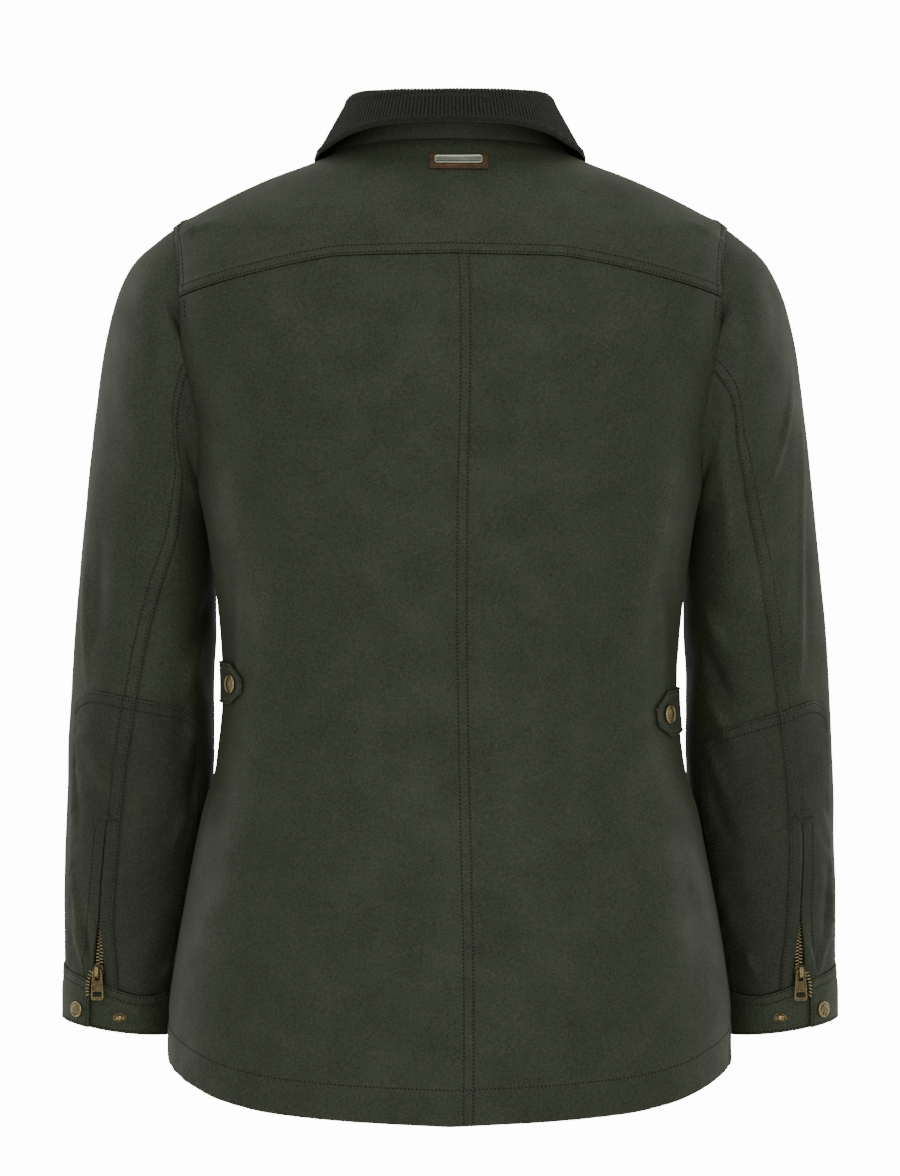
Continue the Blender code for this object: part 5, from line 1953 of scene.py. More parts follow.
@dataclass
class Sleeve:
    """One sleeve: its outer and inner pieces, its patch, its cuff, and their sewing."""

    form: SleeveForm
    wardrobe: Wardrobe
    pitch: float = 3.6
    patch_outer_angle: float = 26.0
    patch_inner_angle: float = 141.0
    patch_corner: float = 0.22
    patch_thickness: float = 1.1
    patch_lift: float = 1.5
    under_cuff: float = 0.12
    seam_overlap: float = 1.1
    crease_depth: float = 1.55
    seam_rows: tuple[float, float] = (1.0, 9.4)
    patch_rows: tuple[float, float] = (1.4, 8.8)
    cuff_rows: tuple[float, float] = (1.5, 7.7)
    cuff_rim_row: float = 2.0
    lap_angle: float = 57.0
    lap_under_angle: float = 24.0
    lap_fade_angle: float = -30.0
    lap_lift: float = 3.0
    cuff_thickness: float = 2.2
    # The patches' colour is multiplied down as painted shade, and the cuffs' colour up as painted light.
    patch_tone: float = 0.84
    cuff_tone: float = 1.22

    @property
    def side(self) -> Side:
        """The sleeve's side."""
        return self.form.side

    @property
    def creases(self) -> tuple[Crease, ...]:
        """The creases that show behind, and others like them in front."""
        seen = tuple(crease._replace(rise=crease.rise * self.crease_depth)
                     for crease in SLEEVE_CREASES[self.side])
        hidden = tuple(
            crease._replace(facing=Facing.FRONT, z=crease.z - 9.0 - 4.0 * (number % 3),
                            end_z=crease.end_z - 6.0 + 5.0 * (number % 2), rise=crease.rise * 0.9)
            for number, crease in enumerate(seen))
        return seen + hidden

    def ring_surface(self, start: Line, end: Line, top: Line) -> Surface:
        """A surface between two lines down the sleeve, that ends a little under the cuff.

        Args:
            start: turn of the first line at a station.
            end: turn of the second.
            top: station of the upper end for a fraction across.

        Returns:
            A function of two fractions that gives a point.
        """
        last = self.form.sleeve_end
        ends = SampledCurve(
            lambda s: self.form.cuff_top(mix(start(last), end(last), s)) + self.under_cuff, 0.0, 1.0, 100)

        def surface(s: float, t: float) -> Vector:
            """A point of the sleeve."""
            station = mix(top(s), ends(s), t)
            return self.form.point(mix(start(station), end(station), s), station)

        return surface

    def under_seam(self, spot: Spot) -> float:
        """How deep an outer piece dips under the inner one, in mm."""
        under = self.form.lap(spot.point.z / MM) - self.seam_overlap
        return sink(spot.end, under) if under > 0.5 else 0.0

    def tucked(self, spot: Spot) -> float:
        """How a sleeve piece stands out under the arm and dips under the cuff, in mm."""
        return full_underarm(spot) - 1.9 * (1.0 - ease((spot.high - 4.2) / 2.6))

    def patch_tucked(self, spot: Spot) -> float:
        """How a patch dips under the cuff, in mm."""
        return self.tucked(spot) - 1.1 * (1.0 - ease((spot.high - 4.2) / 7.0))

    def middle(self, station: float) -> Vector:
        """The middle of a section."""
        point = (self.form.section_point(0.0, station) + self.form.section_point(180.0, station)) / 2
        return Vector((point.x * self.side.value, point.y, point.z))

    def cut(self, part: str, surface: Surface, across: GridLines, up: GridLines, bands: tuple[SeamBand, ...],
            rests_on: str, held: str = "hung", **looks: object) -> Cloth:
        """Build one piece of the sleeve in place of its node.

        Args:
            part: the node's name without its side.
            surface: the piece's surface.
            across: its grid lines round the sleeve.
            up: its grid lines along it.
            bands: its sewn edges.
            rests_on: the piece that carries it.
            held: how it is held.
            looks: its other settings.

        Returns:
            The cloth.
        """
        node = f"{part}_{self.side.word}"
        name = f"{node}_cloth"
        point = surface(0.5, 0.5)
        nearest = min((self.middle(i / 4) for i in range(57)), key=lambda middle: abs((middle - point).z))
        cloth = Cloth(name, surface, point - nearest, across, up, bands, self.creases,
                      seed=5.7 * self.side.value + len(name), **looks)
        return cloth.make(self.wardrobe.waxed, node, "waxed_cotton", (rests_on,), held)

    def build(self) -> None:
        """Build the sleeve and sew it."""
        sewing = Sewing(f"sleeve_sewing_{self.side.word}")
        tops = {Side.LEFT: (8.70, 8.62), Side.RIGHT: (8.80, 9.02)}[self.side]
        self.arm(sewing, mix(*tops, 0.35))
        self.patch(sewing, *tops)
        self.cuff(sewing)
        sewing.finish(self.wardrobe.thread, self.wardrobe.dint)

    def arm(self, sewing: Sewing, patch_top: float) -> None:
        """The outer and inner pieces, whose back seam is sewn down to the patch.

        Args:
            sewing: what the stitches are gathered in.
            patch_top: station where the patch meets the seam.
        """
        form = self.form
        self.cut(
            "sleeve_outer", self.ring_surface(
                form.front_edge(1, 360.0), form.seam_edge(-1, True), lambda s: 0.0),
            GridLines(PLAIN_EDGE, UNDER_EDGE, self.pitch), GridLines(HEAD_EDGE, UNDER_EDGE, self.pitch), (),
            "back_yoke_cloth", extra=lambda spot: self.tucked(spot) - self.under_seam(spot))
        inner = self.cut(
            "sleeve_inner", self.ring_surface(form.seam_edge(1), form.front_edge(-1), lambda s: 0.0),
            GridLines(FELL_EDGE, PLAIN_EDGE, self.pitch), GridLines(HEAD_EDGE, UNDER_EDGE, self.pitch),
            (SeamBand(Edge.START, self.seam_rows, 10.9, 0.85, 0.7, True),), "back_yoke_cloth",
            extra=self.tucked)
        lowest = form.point(form.seam_angle(patch_top), patch_top).z / MM - 3.0
        sewing.sew_edge(inner, Edge.START, *self.seam_rows, low=lowest, high=-150.0)

    def patch(self, sewing: Sewing, outer_top: float, inner_top: float) -> None:
        """The patch's two pieces from elbow to cuff, and the bar tack over the zip's slit.

        Args:
            sewing: what the stitches are gathered in.
            outer_top: station of the outer piece's upper corner.
            inner_top: station of the inner piece's upper corner.
        """
        form, word = self.form, self.side.word
        middle = mix(outer_top, inner_top, 0.35)

        def outer_edge(s: float) -> float:
            """Station of the outer piece's upper edge, with its cut corner."""
            return mix(outer_top, middle, s) + self.patch_corner * max(0.0, 1.0 - s / 0.5) ** 2

        def inner_edge(s: float) -> float:
            """Station of the inner piece's upper edge, with its cut corner."""
            return mix(middle, inner_top, s) + self.patch_corner * max(0.0, s / 0.34 - 1.94) ** 2

        rows_up = GridLines(SEAM_EDGE, UNDER_EDGE, self.pitch)
        looks = {"thickness": self.patch_thickness, "lift": self.patch_lift, "tone": self.patch_tone}
        outer = self.cut(
            "patch_outer", self.ring_surface(
                lambda station: self.patch_outer_angle, form.seam_edge(-1, True), outer_edge),
            GridLines(SEAM_EDGE, FELL_EDGE, self.pitch), rows_up,
            (SeamBand(Edge.LOW, self.patch_rows, 9.8, 0.4, 0.8, lip=0.9),
             SeamBand(Edge.START, (1.4,), 3.0, 0.3, 1.0, lip=0.4)), f"sleeve_outer_{word}_cloth",
            extra=lambda spot: self.patch_tucked(spot) - 0.8 * self.under_seam(spot), **looks)
        inner = self.cut(
            "patch_inner", self.ring_surface(
                form.seam_edge(1), lambda station: self.patch_inner_angle, inner_edge),
            GridLines(FELL_EDGE, SEAM_EDGE, self.pitch), rows_up,
            (SeamBand(Edge.LOW, self.patch_rows, 9.8, 0.4, 0.9, lip=0.9),
             SeamBand(Edge.END, self.patch_rows, 9.8, 0.4, 1.7, lip=0.8),
             SeamBand(Edge.START, self.seam_rows, 10.9, 0.8, 0.6, True)), f"sleeve_inner_{word}_cloth",
            extra=self.patch_tucked, **looks)
        for inset in self.patch_rows:
            sewing.sew_edge(outer, Edge.LOW, inset)
            sewing.sew_edge(inner, Edge.LOW, inset)
            sewing.sew_edge(inner, Edge.END, inset)
        sewing.sew_edge(inner, Edge.START, self.seam_rows[0], low=form.slit_height)
        sewing.sew_edge(inner, Edge.START, self.seam_rows[1])
        sewing.sew_edge(outer, Edge.END, self.seam_rows[1], high=form.slit_height)
        self.bar_tack(outer, inner)

    def bar_tack(self, outer: Cloth, inner: Cloth) -> None:
        """The close stitches across the top of the zip's slit.

        Args:
            outer: the outer patch.
            inner: the inner patch.
        """
        lines = [outer.line(Edge.END, inset) for inset in (10.4, 7.0, 4.0, 1.0)]
        lines += [inner.line(Edge.START, inset) for inset in (1.0, 4.0, 7.0, 10.6)]
        across = [min(line, key=lambda spot: abs(spot.point.z / MM - self.form.slit_height))
                  for line in lines if line]
        tack = Sewing(f"bar_tack_{self.side.word}", pitch=1.1, length=1.9, width=0.8, height=0.9, slant=1.2,
                      with_holes=False)
        tack.sew([spot._replace(point=spot.point + spot.normal * 0.3 * MM) for spot in across])
        tack.finish(self.wardrobe.thread, self.wardrobe.dint)

    def cuff(self, sewing: Sewing) -> None:
        """The cuff band, whose outer end laps over its inner end.

        Args:
            sewing: what the stitches are gathered in.
        """
        form = self.form

        def surface(s: float, t: float) -> Vector:
            """A point of the band."""
            turn = mix(self.lap_angle, self.lap_under_angle - 360.0, s)
            station = mix(form.cuff_top(turn if turn > -90.0 else turn + 360.0), form.cuff_end, t)
            lap = self.lap_lift * mix(0.1, 1.0, ease(t / 0.5)) * ease(
                (turn - self.lap_fade_angle) / (self.lap_under_angle - self.lap_fade_angle - 8.0))
            return form.point(turn, station) + form.normal(turn, station) * lap * MM

        rim = (self.cuff_rim_row,)
        cuff = self.cut(
            "cuff", surface, GridLines(SINGLE_EDGE, PLAIN_EDGE, self.pitch),
            GridLines((0.0, 0.7, 1.5, 2.1, 3.2, 5.5, 7.1, 7.7, 8.3, 10.0), SINGLE_EDGE, 3.0),
            (SeamBand(Edge.LOW, self.cuff_rows, 8.4, 0.6, 0.7, lip=0.4),
             SeamBand(Edge.HIGH, rim, 3.0, 0.2, 0.3), SeamBand(Edge.START, rim, 3.0, 0.2, 0.4)),
            f"sleeve_outer_{self.side.word}_cloth", "folded", thickness=self.cuff_thickness,
            tone=self.cuff_tone)
        sewing.sew_edge(cuff, Edge.LOW, *self.cuff_rows)
        sewing.sew_edge(cuff, Edge.HIGH, *rim)
        sewing.sew_edge(cuff, Edge.START, *rim)


# ------------------------------------------------------------------ collar

def dome(place: float) -> float:
    """Height of a half-round row at a place, over its width of 1."""
    return math.sqrt(max(0.0, 1.0 - (2.0 * (place % 1.0) - 1.0) ** 2))


@dataclass
class Collar:
    """The cord top collar with its wales, the shell-cloth under collar and the rolled rim."""

    form: CollarForm
    wardrobe: Wardrobe
    wale_pitch: float = 3.3
    wale_height: float = 0.8
    rib_pitch: float = 4.2
    rib_slant: float = 0.6
    columns_a_wale: int = 5
    thickness: float = 1.4
    gap: float = 0.15

    def surface(self, s: float, t: float) -> Vector:
        """A point between the two layers."""
        return self.form.point(mix(-1.0, 1.0, s), mix(self.form.root, 1.0, t))

    def rib(self, spot: Spot) -> float:
        """How far up a slanted rib of the rolled rim a spot is, from 0 to 1."""
        return dome((spot.start + self.rib_slant * spot.high) / self.rib_pitch)

    def build(self) -> None:
        """Build the cord layer and the shell-cloth layer under it."""
        bare = (0.0,)
        coarse = GridLines(bare, bare, 10.0)
        outward = self.form.normal(0.0, 0.5)
        probe = Cloth("probe", self.surface, outward, coarse, coarse)
        probe.measure()
        wales = round(probe.widths[-1] / self.wale_pitch)
        pitch = sum(probe.widths) / len(probe.widths) / (wales * self.columns_a_wale)

        def wale(spot: Spot) -> float:
            """How far the wales and the rim's ribs stand up, in mm."""
            height = self.wale_height * dome(spot.start / (spot.start + spot.end) * wales)
            return height * ease(spot.high / 5.0) + (0.5 + 1.2 * self.rib(spot)) * bell(spot.high - 2.4, 2.4)

        def light(spot: Spot) -> float:
            """Painted highlights on the wales' tops and the rim's ribs, and painted shade in the hollows
            between them.
            """
            top = 0.12 + 1.2 * dome(spot.start / (spot.start + spot.end) * wales)
            return mix(0.1 + 1.25 * self.rib(spot), top, ease((spot.high - 4.9) / 1.2))

        lift = self.thickness + self.gap
        top = Cloth(
            "collar_top_cloth", self.surface, outward, GridLines(bare, bare, pitch),
            GridLines(PLAIN_EDGE, (0.0, 0.6, 1.3, 2.1, 3.0, 3.9, 4.9, 6.2, 8.5), 4.2),
            thickness=self.thickness, lift=lift, extra=wale, shading=light)
        top.make(self.wardrobe.cord, "collar_top", "cord", ("back_yoke_cloth",), "folded")
        plain = GridLines(PLAIN_EDGE, PLAIN_EDGE, 4.0)
        under = Cloth("collar_under_cloth", self.surface, -outward, plain, plain, thickness=self.thickness,
                      lift=lift, tone=0.9)
        under.make(self.wardrobe.waxed, "collar_under", "waxed_cotton", ("back_yoke_cloth",), "folded")


# ------------------------------------------------------------------ hardware

def revolved(profile: Outline, segments: int = 48) -> Shape:
    """A shape turned about Z.

    Args:
        profile: its (radius, height) rows in mm.
        segments: the faces round it.

    Returns:
        The shape.
    """
    form = bmesh.new()
    rows_up = len(profile) - 1
    bmesh.ops.create_grid(form, x_segments=segments, y_segments=rows_up, size=0.5)
    for vertex in form.verts:
        angle = (vertex.co.x + 0.5) * math.tau
        radius, height = profile[round((vertex.co.y + 0.5) * rows_up)]
        vertex.co = Vector((radius * math.cos(angle), radius * math.sin(angle), height)) * MM
    bmesh.ops.remove_doubles(form, verts=form.verts[:], dist=1e-6)
    bmesh.ops.recalc_face_normals(form, faces=form.faces[:])
    return form


def curve_shape(outlines: Sequence[Outline], half_height: float = 0.0, bevel: float = 0.0) -> Shape:
    """A plate filled between closed outlines, or a tube along one, in mm.

    Args:
        outlines: the outer line and any holes in it; 3-D points make tubes.
        half_height: half the plate's height in mm, without its rounded edge.
        bevel: radius of the rounded edge or of the tube in mm.

    Returns:
        The shape.
    """
    filled = len(outlines[0][0]) == 2
    curve = bpy.data.curves.new("outline", "CURVE")
    curve.dimensions = "2D" if filled else "3D"
    curve.fill_mode = "BOTH" if filled else "FULL"
    curve.extrude = half_height * MM
    curve.bevel_depth = bevel * MM
    curve.bevel_resolution = 1
    curve.use_fill_caps = not filled
    for points in outlines:
        spline = curve.splines.new("POLY")
        spline.points.add(len(points) - 1)
        for target, point in zip(spline.points, points):
            x, y, z = (*point, 0.0)[:3]
            target.co = (x * MM, y * MM, z * MM, 1.0)
        spline.use_cyclic_u = True
    holder = bpy.data.objects.new("outline", curve)
    mesh = bpy.data.meshes.new_from_object(holder)
    form = bmesh.new()
    form.from_mesh(mesh)
    bmesh.ops.remove_doubles(form, verts=form.verts[:], dist=1e-6)
    bmesh.ops.recalc_face_normals(form, faces=form.faces[:])
    bpy.data.meshes.remove(mesh)
    bpy.data.objects.remove(holder)
    bpy.data.curves.remove(curve)
    return form


def rounded(corners: Outline, radius: float, steps: int = 6) -> list[tuple[float, ...]]:
    """An outline with each corner cut back to an arc.

    Args:
        corners: its corners in mm.
        radius: mm cut back at each.
        steps: the parts of each arc.

    Returns:
        The outline's points in mm.
    """
    points = []
    for i, corner in enumerate(corners):
        here = Vector(corner)
        before, after = Vector(corners[i - 1]), Vector(corners[(i + 1) % len(corners)])
        start = here + (before - here).normalized() * radius
        end = here + (after - here).normalized() * radius
        for step in range(steps + 1):
            u = step / steps
            points.append(tuple(start * (1 - u) ** 2 + here * 2 * u * (1 - u) + end * u**2))
    return points


def frame_of(origin: Vector, down: Vector, outward: Vector) -> Matrix:
    """A matrix whose Y runs down a zip, whose Z stands out of the cloth and whose X lies across.

    Args:
        origin: its place in metres.
        down: a direction down the zip.
        outward: one out of the cloth.

    Returns:
        The matrix.
    """
    out = outward.normalized()
    along = (down - out * down.dot(out)).normalized()
    turn = Matrix((along.cross(out), along, out)).transposed().to_4x4()
    return Matrix.Translation(origin) @ turn


class Hardware:
    """Hard shapes gathered into one piece of metal."""

    smooth_angle: float = 40.0  # degrees up to which an edge is shaded smooth

    def __init__(self, name: str) -> None:
        """Start a piece with no shapes in it."""
        self.name = name
        self.form = bmesh.new()

    def add(self, shape: Shape, place: Matrix, material_index: int = 0) -> None:
        """Add a shape at a place, and free it.

        Args:
            shape: the shape.
            place: where it goes.
            material_index: the number of its finish.
        """
        for face in shape.faces:
            face.material_index = material_index
        bmesh.ops.transform(shape, matrix=place, verts=shape.verts[:])
        mesh = bpy.data.meshes.new("shape")
        shape.to_mesh(mesh)
        shape.free()
        self.form.from_mesh(mesh)
        bpy.data.meshes.remove(mesh)

    def finish(self, metals: Sequence[Material], node: str | None = None, body: str = BODY_NAME) -> None:
        """Make the gathered shapes one piece.

        Args:
            metals: its finishes, by the shapes' numbers.
            node: the node it replaces, if any.
            body: the body it rides.
        """
        piece = new_piece(self.name, self.form, metals)
        piece.data.set_sharp_from_angle(angle=math.radians(self.smooth_angle))
        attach(piece, body)
        if node:
            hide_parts(node)
        LOG.info("%s: %d faces", self.name, len(piece.data.polygons))


@dataclass(frozen=True)
class SnapCap:
    """A snap's cap: a rolled ring round a slightly domed, pebbled middle."""

    ring: Outline = (
        (6.1, 0.0), (6.5, 0.35), (6.55, 0.9), (6.3, 1.45), (5.9, 1.75), (5.5, 1.75), (5.15, 1.5),
        (4.95, 1.15))
    middle: Outline = (
        (4.95, 1.15), (4.7, 1.45), (4.0, 1.75), (3.0, 2.0), (2.0, 2.2), (1.0, 2.3), (0.0, 2.32))
    foot: Outline = ((0.0, 0.0), (6.1, 0.0))

    def add_to(self, piece: Hardware, place: Matrix) -> None:
        """Add the cap.

        Args:
            piece: what it is gathered in.
            place: where it goes.
        """
        piece.add(revolved(self.ring), place, 2)
        piece.add(revolved(self.middle), place, 1)
        piece.add(revolved(self.foot), place)


@dataclass(frozen=True)
class Stud:
    """An open snap stud: an oval eye in the cloth with a round-headed post."""

    eye: Outline = ((5.9, 0.0), (5.95, 0.35), (5.5, 0.75), (4.9, 0.8), (4.3, 0.5), (3.9, 0.05))
    well: Outline = ((3.9, 0.05), (3.2, -0.1), (2.0, -0.1), (0.0, -0.1))
    post: Outline = (
        (1.5, -0.1), (1.35, 0.9), (1.7, 1.35), (1.9, 1.8), (1.75, 2.3), (1.2, 2.65), (0.6, 2.75), (0.0, 2.8))
    squash: float = 0.62

    def add_to(self, piece: Hardware, place: Matrix) -> None:
        """Add the stud.

        Args:
            piece: what it is gathered in.
            place: where it goes.
        """
        oval = place @ Matrix.Diagonal((1.0, self.squash, 1.0, 1.0))
        piece.add(revolved(self.eye), oval)
        piece.add(revolved(self.well), oval, 1)
        piece.add(revolved(self.post, 24), place, 2)


@dataclass(frozen=True)
class ZipHardware:
    """A zip's slider, pull tab and teeth, in mm. The pull hangs from its bar at the origin."""

    slider_outline: Outline = (
        (-2.6, -4.2), (2.6, -4.2), (4.0, -2.0), (4.0, 4.5), (3.2, 6.8), (-3.2, 6.8), (-4.0, 4.5),
        (-4.0, -2.0))
    slider_height: float = 2.1
    wedge: Outline = ((-1.6, -3.6), (1.6, -3.6), (0.5, 3.0), (-0.5, 3.0))
    bridge: Outline = (
        (-3.6, -0.5), (-3.4, 2.2), (-2.2, 3.5), (4.8, 3.5), (6.3, 2.0), (6.3, -0.5), (5.3, -0.5), (5.3, 1.7),
        (4.4, 2.6), (-1.8, 2.6), (-2.5, 1.8), (-2.6, -0.5))
    bridge_width: float = 3.2
    pull_top: float = -0.7
    pull_length: float = 25.0
    pull_half_widths: tuple[float, float] = (4.0, 5.9)
    slot: tuple[float, float, float] = (2.2, 0.7, 8.6)
    window: tuple[float, float, float] = (4.2, 17.4, 21.8)
    plate_half_height: float = 0.35
    tooth: tuple[float, float, float] = (3.4, 1.35, 1.9)
    tooth_lean: float = 0.2
    tooth_pitch: float = 2.7

    def make_slider(self, node: str, place: Matrix, metals: Sequence[Material]) -> None:
        """Make the slider: two wings, the wedge between them and the bridge over them.

        Args:
            node: the node it replaces.
            place: where it sits on the chain.
            metals: its finishes.
        """
        piece = Hardware(f"{node}_metal")
        outline = rounded(self.slider_outline, 0.9, 3)
        for height in (0.5, self.slider_height - 0.35):
            piece.add(curve_shape([outline], 0.15, 0.22), place @ Matrix.Translation((0, 0, height * MM)))
        piece.add(curve_shape([self.wedge], self.slider_height / 2 - 0.2, 0.1),
                  place @ Matrix.Translation((0, 0, self.slider_height / 2 * MM)), 2)
        stand = Matrix(((0, 0, 1, 0), (1, 0, 0, 0), (0, 1, 0, self.slider_height * MM), (0, 0, 0, 1)))
        piece.add(curve_shape([self.bridge], self.bridge_width / 2 - 0.2, 0.2), place @ stand, 2)
        piece.finish(metals, node)

    def make_pull(self, node: str, place: Matrix, metals: Sequence[Material]) -> None:
        """Make the pull tab: a bare plate with a raised rim, a slot and a window.

        Args:
            node: the node it replaces, which is its body's name too.
            place: where its bar lies.
            metals: its finishes.
        """
        piece = Hardware(f"{node}_metal")
        foot = self.pull_top + self.pull_length
        top_half, foot_half = self.pull_half_widths
        outline = rounded([(-top_half, self.pull_top), (top_half, self.pull_top), (foot_half, foot),
                           (-foot_half, foot)], 2.6)
        slot, window = (
            rounded([(-half, top), (half, top), (half, bottom), (-half, bottom)], radius)
            for (half, top, bottom), radius in ((self.slot, 0.9), (self.window, 1.5)))
        piece.add(curve_shape([outline, slot, window], self.plate_half_height, 0.2), place)
        rim_middle, window_middle = (self.pull_top + foot) / 2, sum(self.window[1:]) / 2
        rim = [(x * 0.9, rim_middle + (y - rim_middle) * 0.966, 0.45) for x, y in outline]
        around = [(x * 1.1, window_middle + (y - window_middle) * 1.2, 0.42) for x, y in window]
        piece.add(curve_shape([rim], bevel=0.42), place, 2)
        piece.add(curve_shape([around], bevel=0.36), place, 2)
        piece.finish(metals, node, node)

    def tooth_shape(self) -> Shape:
        """One tooth, its long side along X and narrower at its top."""
        form = bmesh.new()
        bmesh.ops.create_cube(form, size=MM)
        width, depth, height = self.tooth
        for vertex in form.verts:
            at_top = vertex.co.z > 0.0
            vertex.co = Vector((vertex.co.x * width * (0.9 if at_top else 1.0),
                                vertex.co.y * depth * (0.72 if at_top else 1.0), vertex.co.z * height))
        return form

    def add_teeth(self, piece: Hardware, path: list[Matrix], side: int, apart: float = 1.6) -> None:
        """Add a row of teeth down one side of a path of frames, a pitch apart.

        Args:
            piece: what they are gathered in.
            path: frames down the zip.
            side: -1 or 1 across.
            apart: mm from the middle.
        """
        lengths = lengths_along([frame.translation for frame in path])
        across = Matrix.Translation((side * apart * MM, 0.0, 0.0))
        lean = Matrix.Rotation(side * self.tooth_lean, 4, "Z")
        place = self.tooth_pitch / 2 if side > 0 else 0.0
        while place < lengths[-1]:
            i = min(bisect.bisect_right(lengths, place) - 1, len(path) - 2)
            u = (place - lengths[i]) / max(lengths[i + 1] - lengths[i], 1e-6)
            piece.add(self.tooth_shape(), path[i].lerp(path[i + 1], u) @ across @ lean, 2)
            place += self.tooth_pitch


@dataclass
class Label:
    """The leather label under the neck seam, stitched round, with its bare metal plate."""

    form: BodyForm
    wardrobe: Wardrobe
    middle_x: float = -6.4
    middle_z: float = -10.0
    plate_rise: float = 1.2
    leather_size: tuple[float, float] = (46.0, 12.2)
    plate_size: tuple[float, float] = (37.0, 6.8)
    leather_corner: float = 1.6
    plate_corner: float = 1.9
    stitch_inset: float = 1.3
    ends: tuple[float, ...] = (0.0, 0.15, 0.45, 0.9, 1.5, 2.2, 3.0, 3.6)
    plate_rows: tuple[float, ...] = (0.0, 0.3, 0.7, 1.0, 1.3)

    def place(self, size: tuple[float, float], corner: float, rise: float = 0.0) -> Surface:
        """The patch of the yoke under a sheet of a size with rounded corners.

        Args:
            size: its width and height in mm.
            corner: its corners' radius in mm.
            rise: how far above the label's middle its own middle is, in mm.

        Returns:
            A function of two fractions that gives a point.
        """
        width, height = size

        def surface(s: float, t: float) -> Vector:
            """A point of the yoke under the sheet."""
            across = (s - 0.5) * width
            past = max(0.0, abs(across) - width / 2 + corner)
            tall = height - 2.0 * (corner - math.sqrt(max(corner * corner - past * past, 0.0)))
            level = self.middle_z + rise + (t - 0.5) * tall
            across += self.middle_x
            angle = math.degrees(math.asin(across / self.form.radius(0.0, level)))
            return self.form.point(angle, level)

        return surface

    def build(self) -> None:
        """Build leather, stitching and plate."""
        backwards = Vector((0, 1, 0))
        columns = GridLines(self.ends, self.ends, 1.2)
        leather = Cloth(
            "label_leather_sheet", self.place(self.leather_size, self.leather_corner), backwards, columns,
            GridLines(self.ends[::2], self.ends[::2], 1.0), thickness=1.3, lift=1.8, extra=self.pressed,
            shading=self.darker_rim)
        leather.make(self.wardrobe.leather, "label_leather", "leather", ("back_yoke_cloth",), "laid")
        sewing = Sewing("label_sewing", pitch=2.2, length=1.5, width=0.5, height=0.35, hole_length=0.7,
                        hole_width=0.6)
        for edge in Edge:
            sewing.sew(leather.line(edge, self.stitch_inset), 1.2)
        sewing.finish(self.wardrobe.tan_thread, self.wardrobe.dint, "leather")
        plate = Cloth(
            "label_plate_sheet", self.place(self.plate_size, self.plate_corner, self.plate_rise), backwards,
            columns, GridLines(self.plate_rows, self.plate_rows, 0.8), thickness=0.8, lift=2.9,
            extra=self.plate_rim, shading=self.darker_field)
        plate.make(self.wardrobe.nickel, "label_plate", "nickel")

    def pressed(self, spot: Spot) -> float:
        """The line that the stitching is pressed into, and the rounded cut edge.

        Args:
            spot: the place.

        Returns:
            mm out.
        """
        away = spot.away(*Edge)
        groove = -0.3 * bell(away - self.stitch_inset, 0.6) - 0.2 * bell(away - 3.0, 0.35)
        return groove - 0.35 * (1.0 - ease(away / 0.8))

    def darker_rim(self, spot: Spot) -> float:
        """How the leather's waxed edge is darker, with painted shade along the pressed stitch groove and a
        painted highlight on the ridge between the grooves.

        Args:
            spot: the place.

        Returns:
            The shade.
        """
        away = spot.away(*Edge)
        stitched = 0.4 * bell(away - self.stitch_inset, 0.6)
        return 1.0 - stitched - 0.4 * (1.0 - ease(away / 0.6)) + 0.25 * bell(away - 2.3, 0.6)

    def darker_field(self, spot: Spot) -> float:
        """The plate's field has darkened inside its rubbed rim."""
        return mix(1.0, 0.52, ease((spot.away(*Edge) - 0.9) / 0.6))

    def plate_rim(self, spot: Spot) -> float:
        """The plate's raised rim round its bare field."""
        away = spot.away(*Edge)
        return 0.35 * (1.0 - ease((away - 0.9) / 0.5)) - 0.3 * (1.0 - ease(away / 0.4))


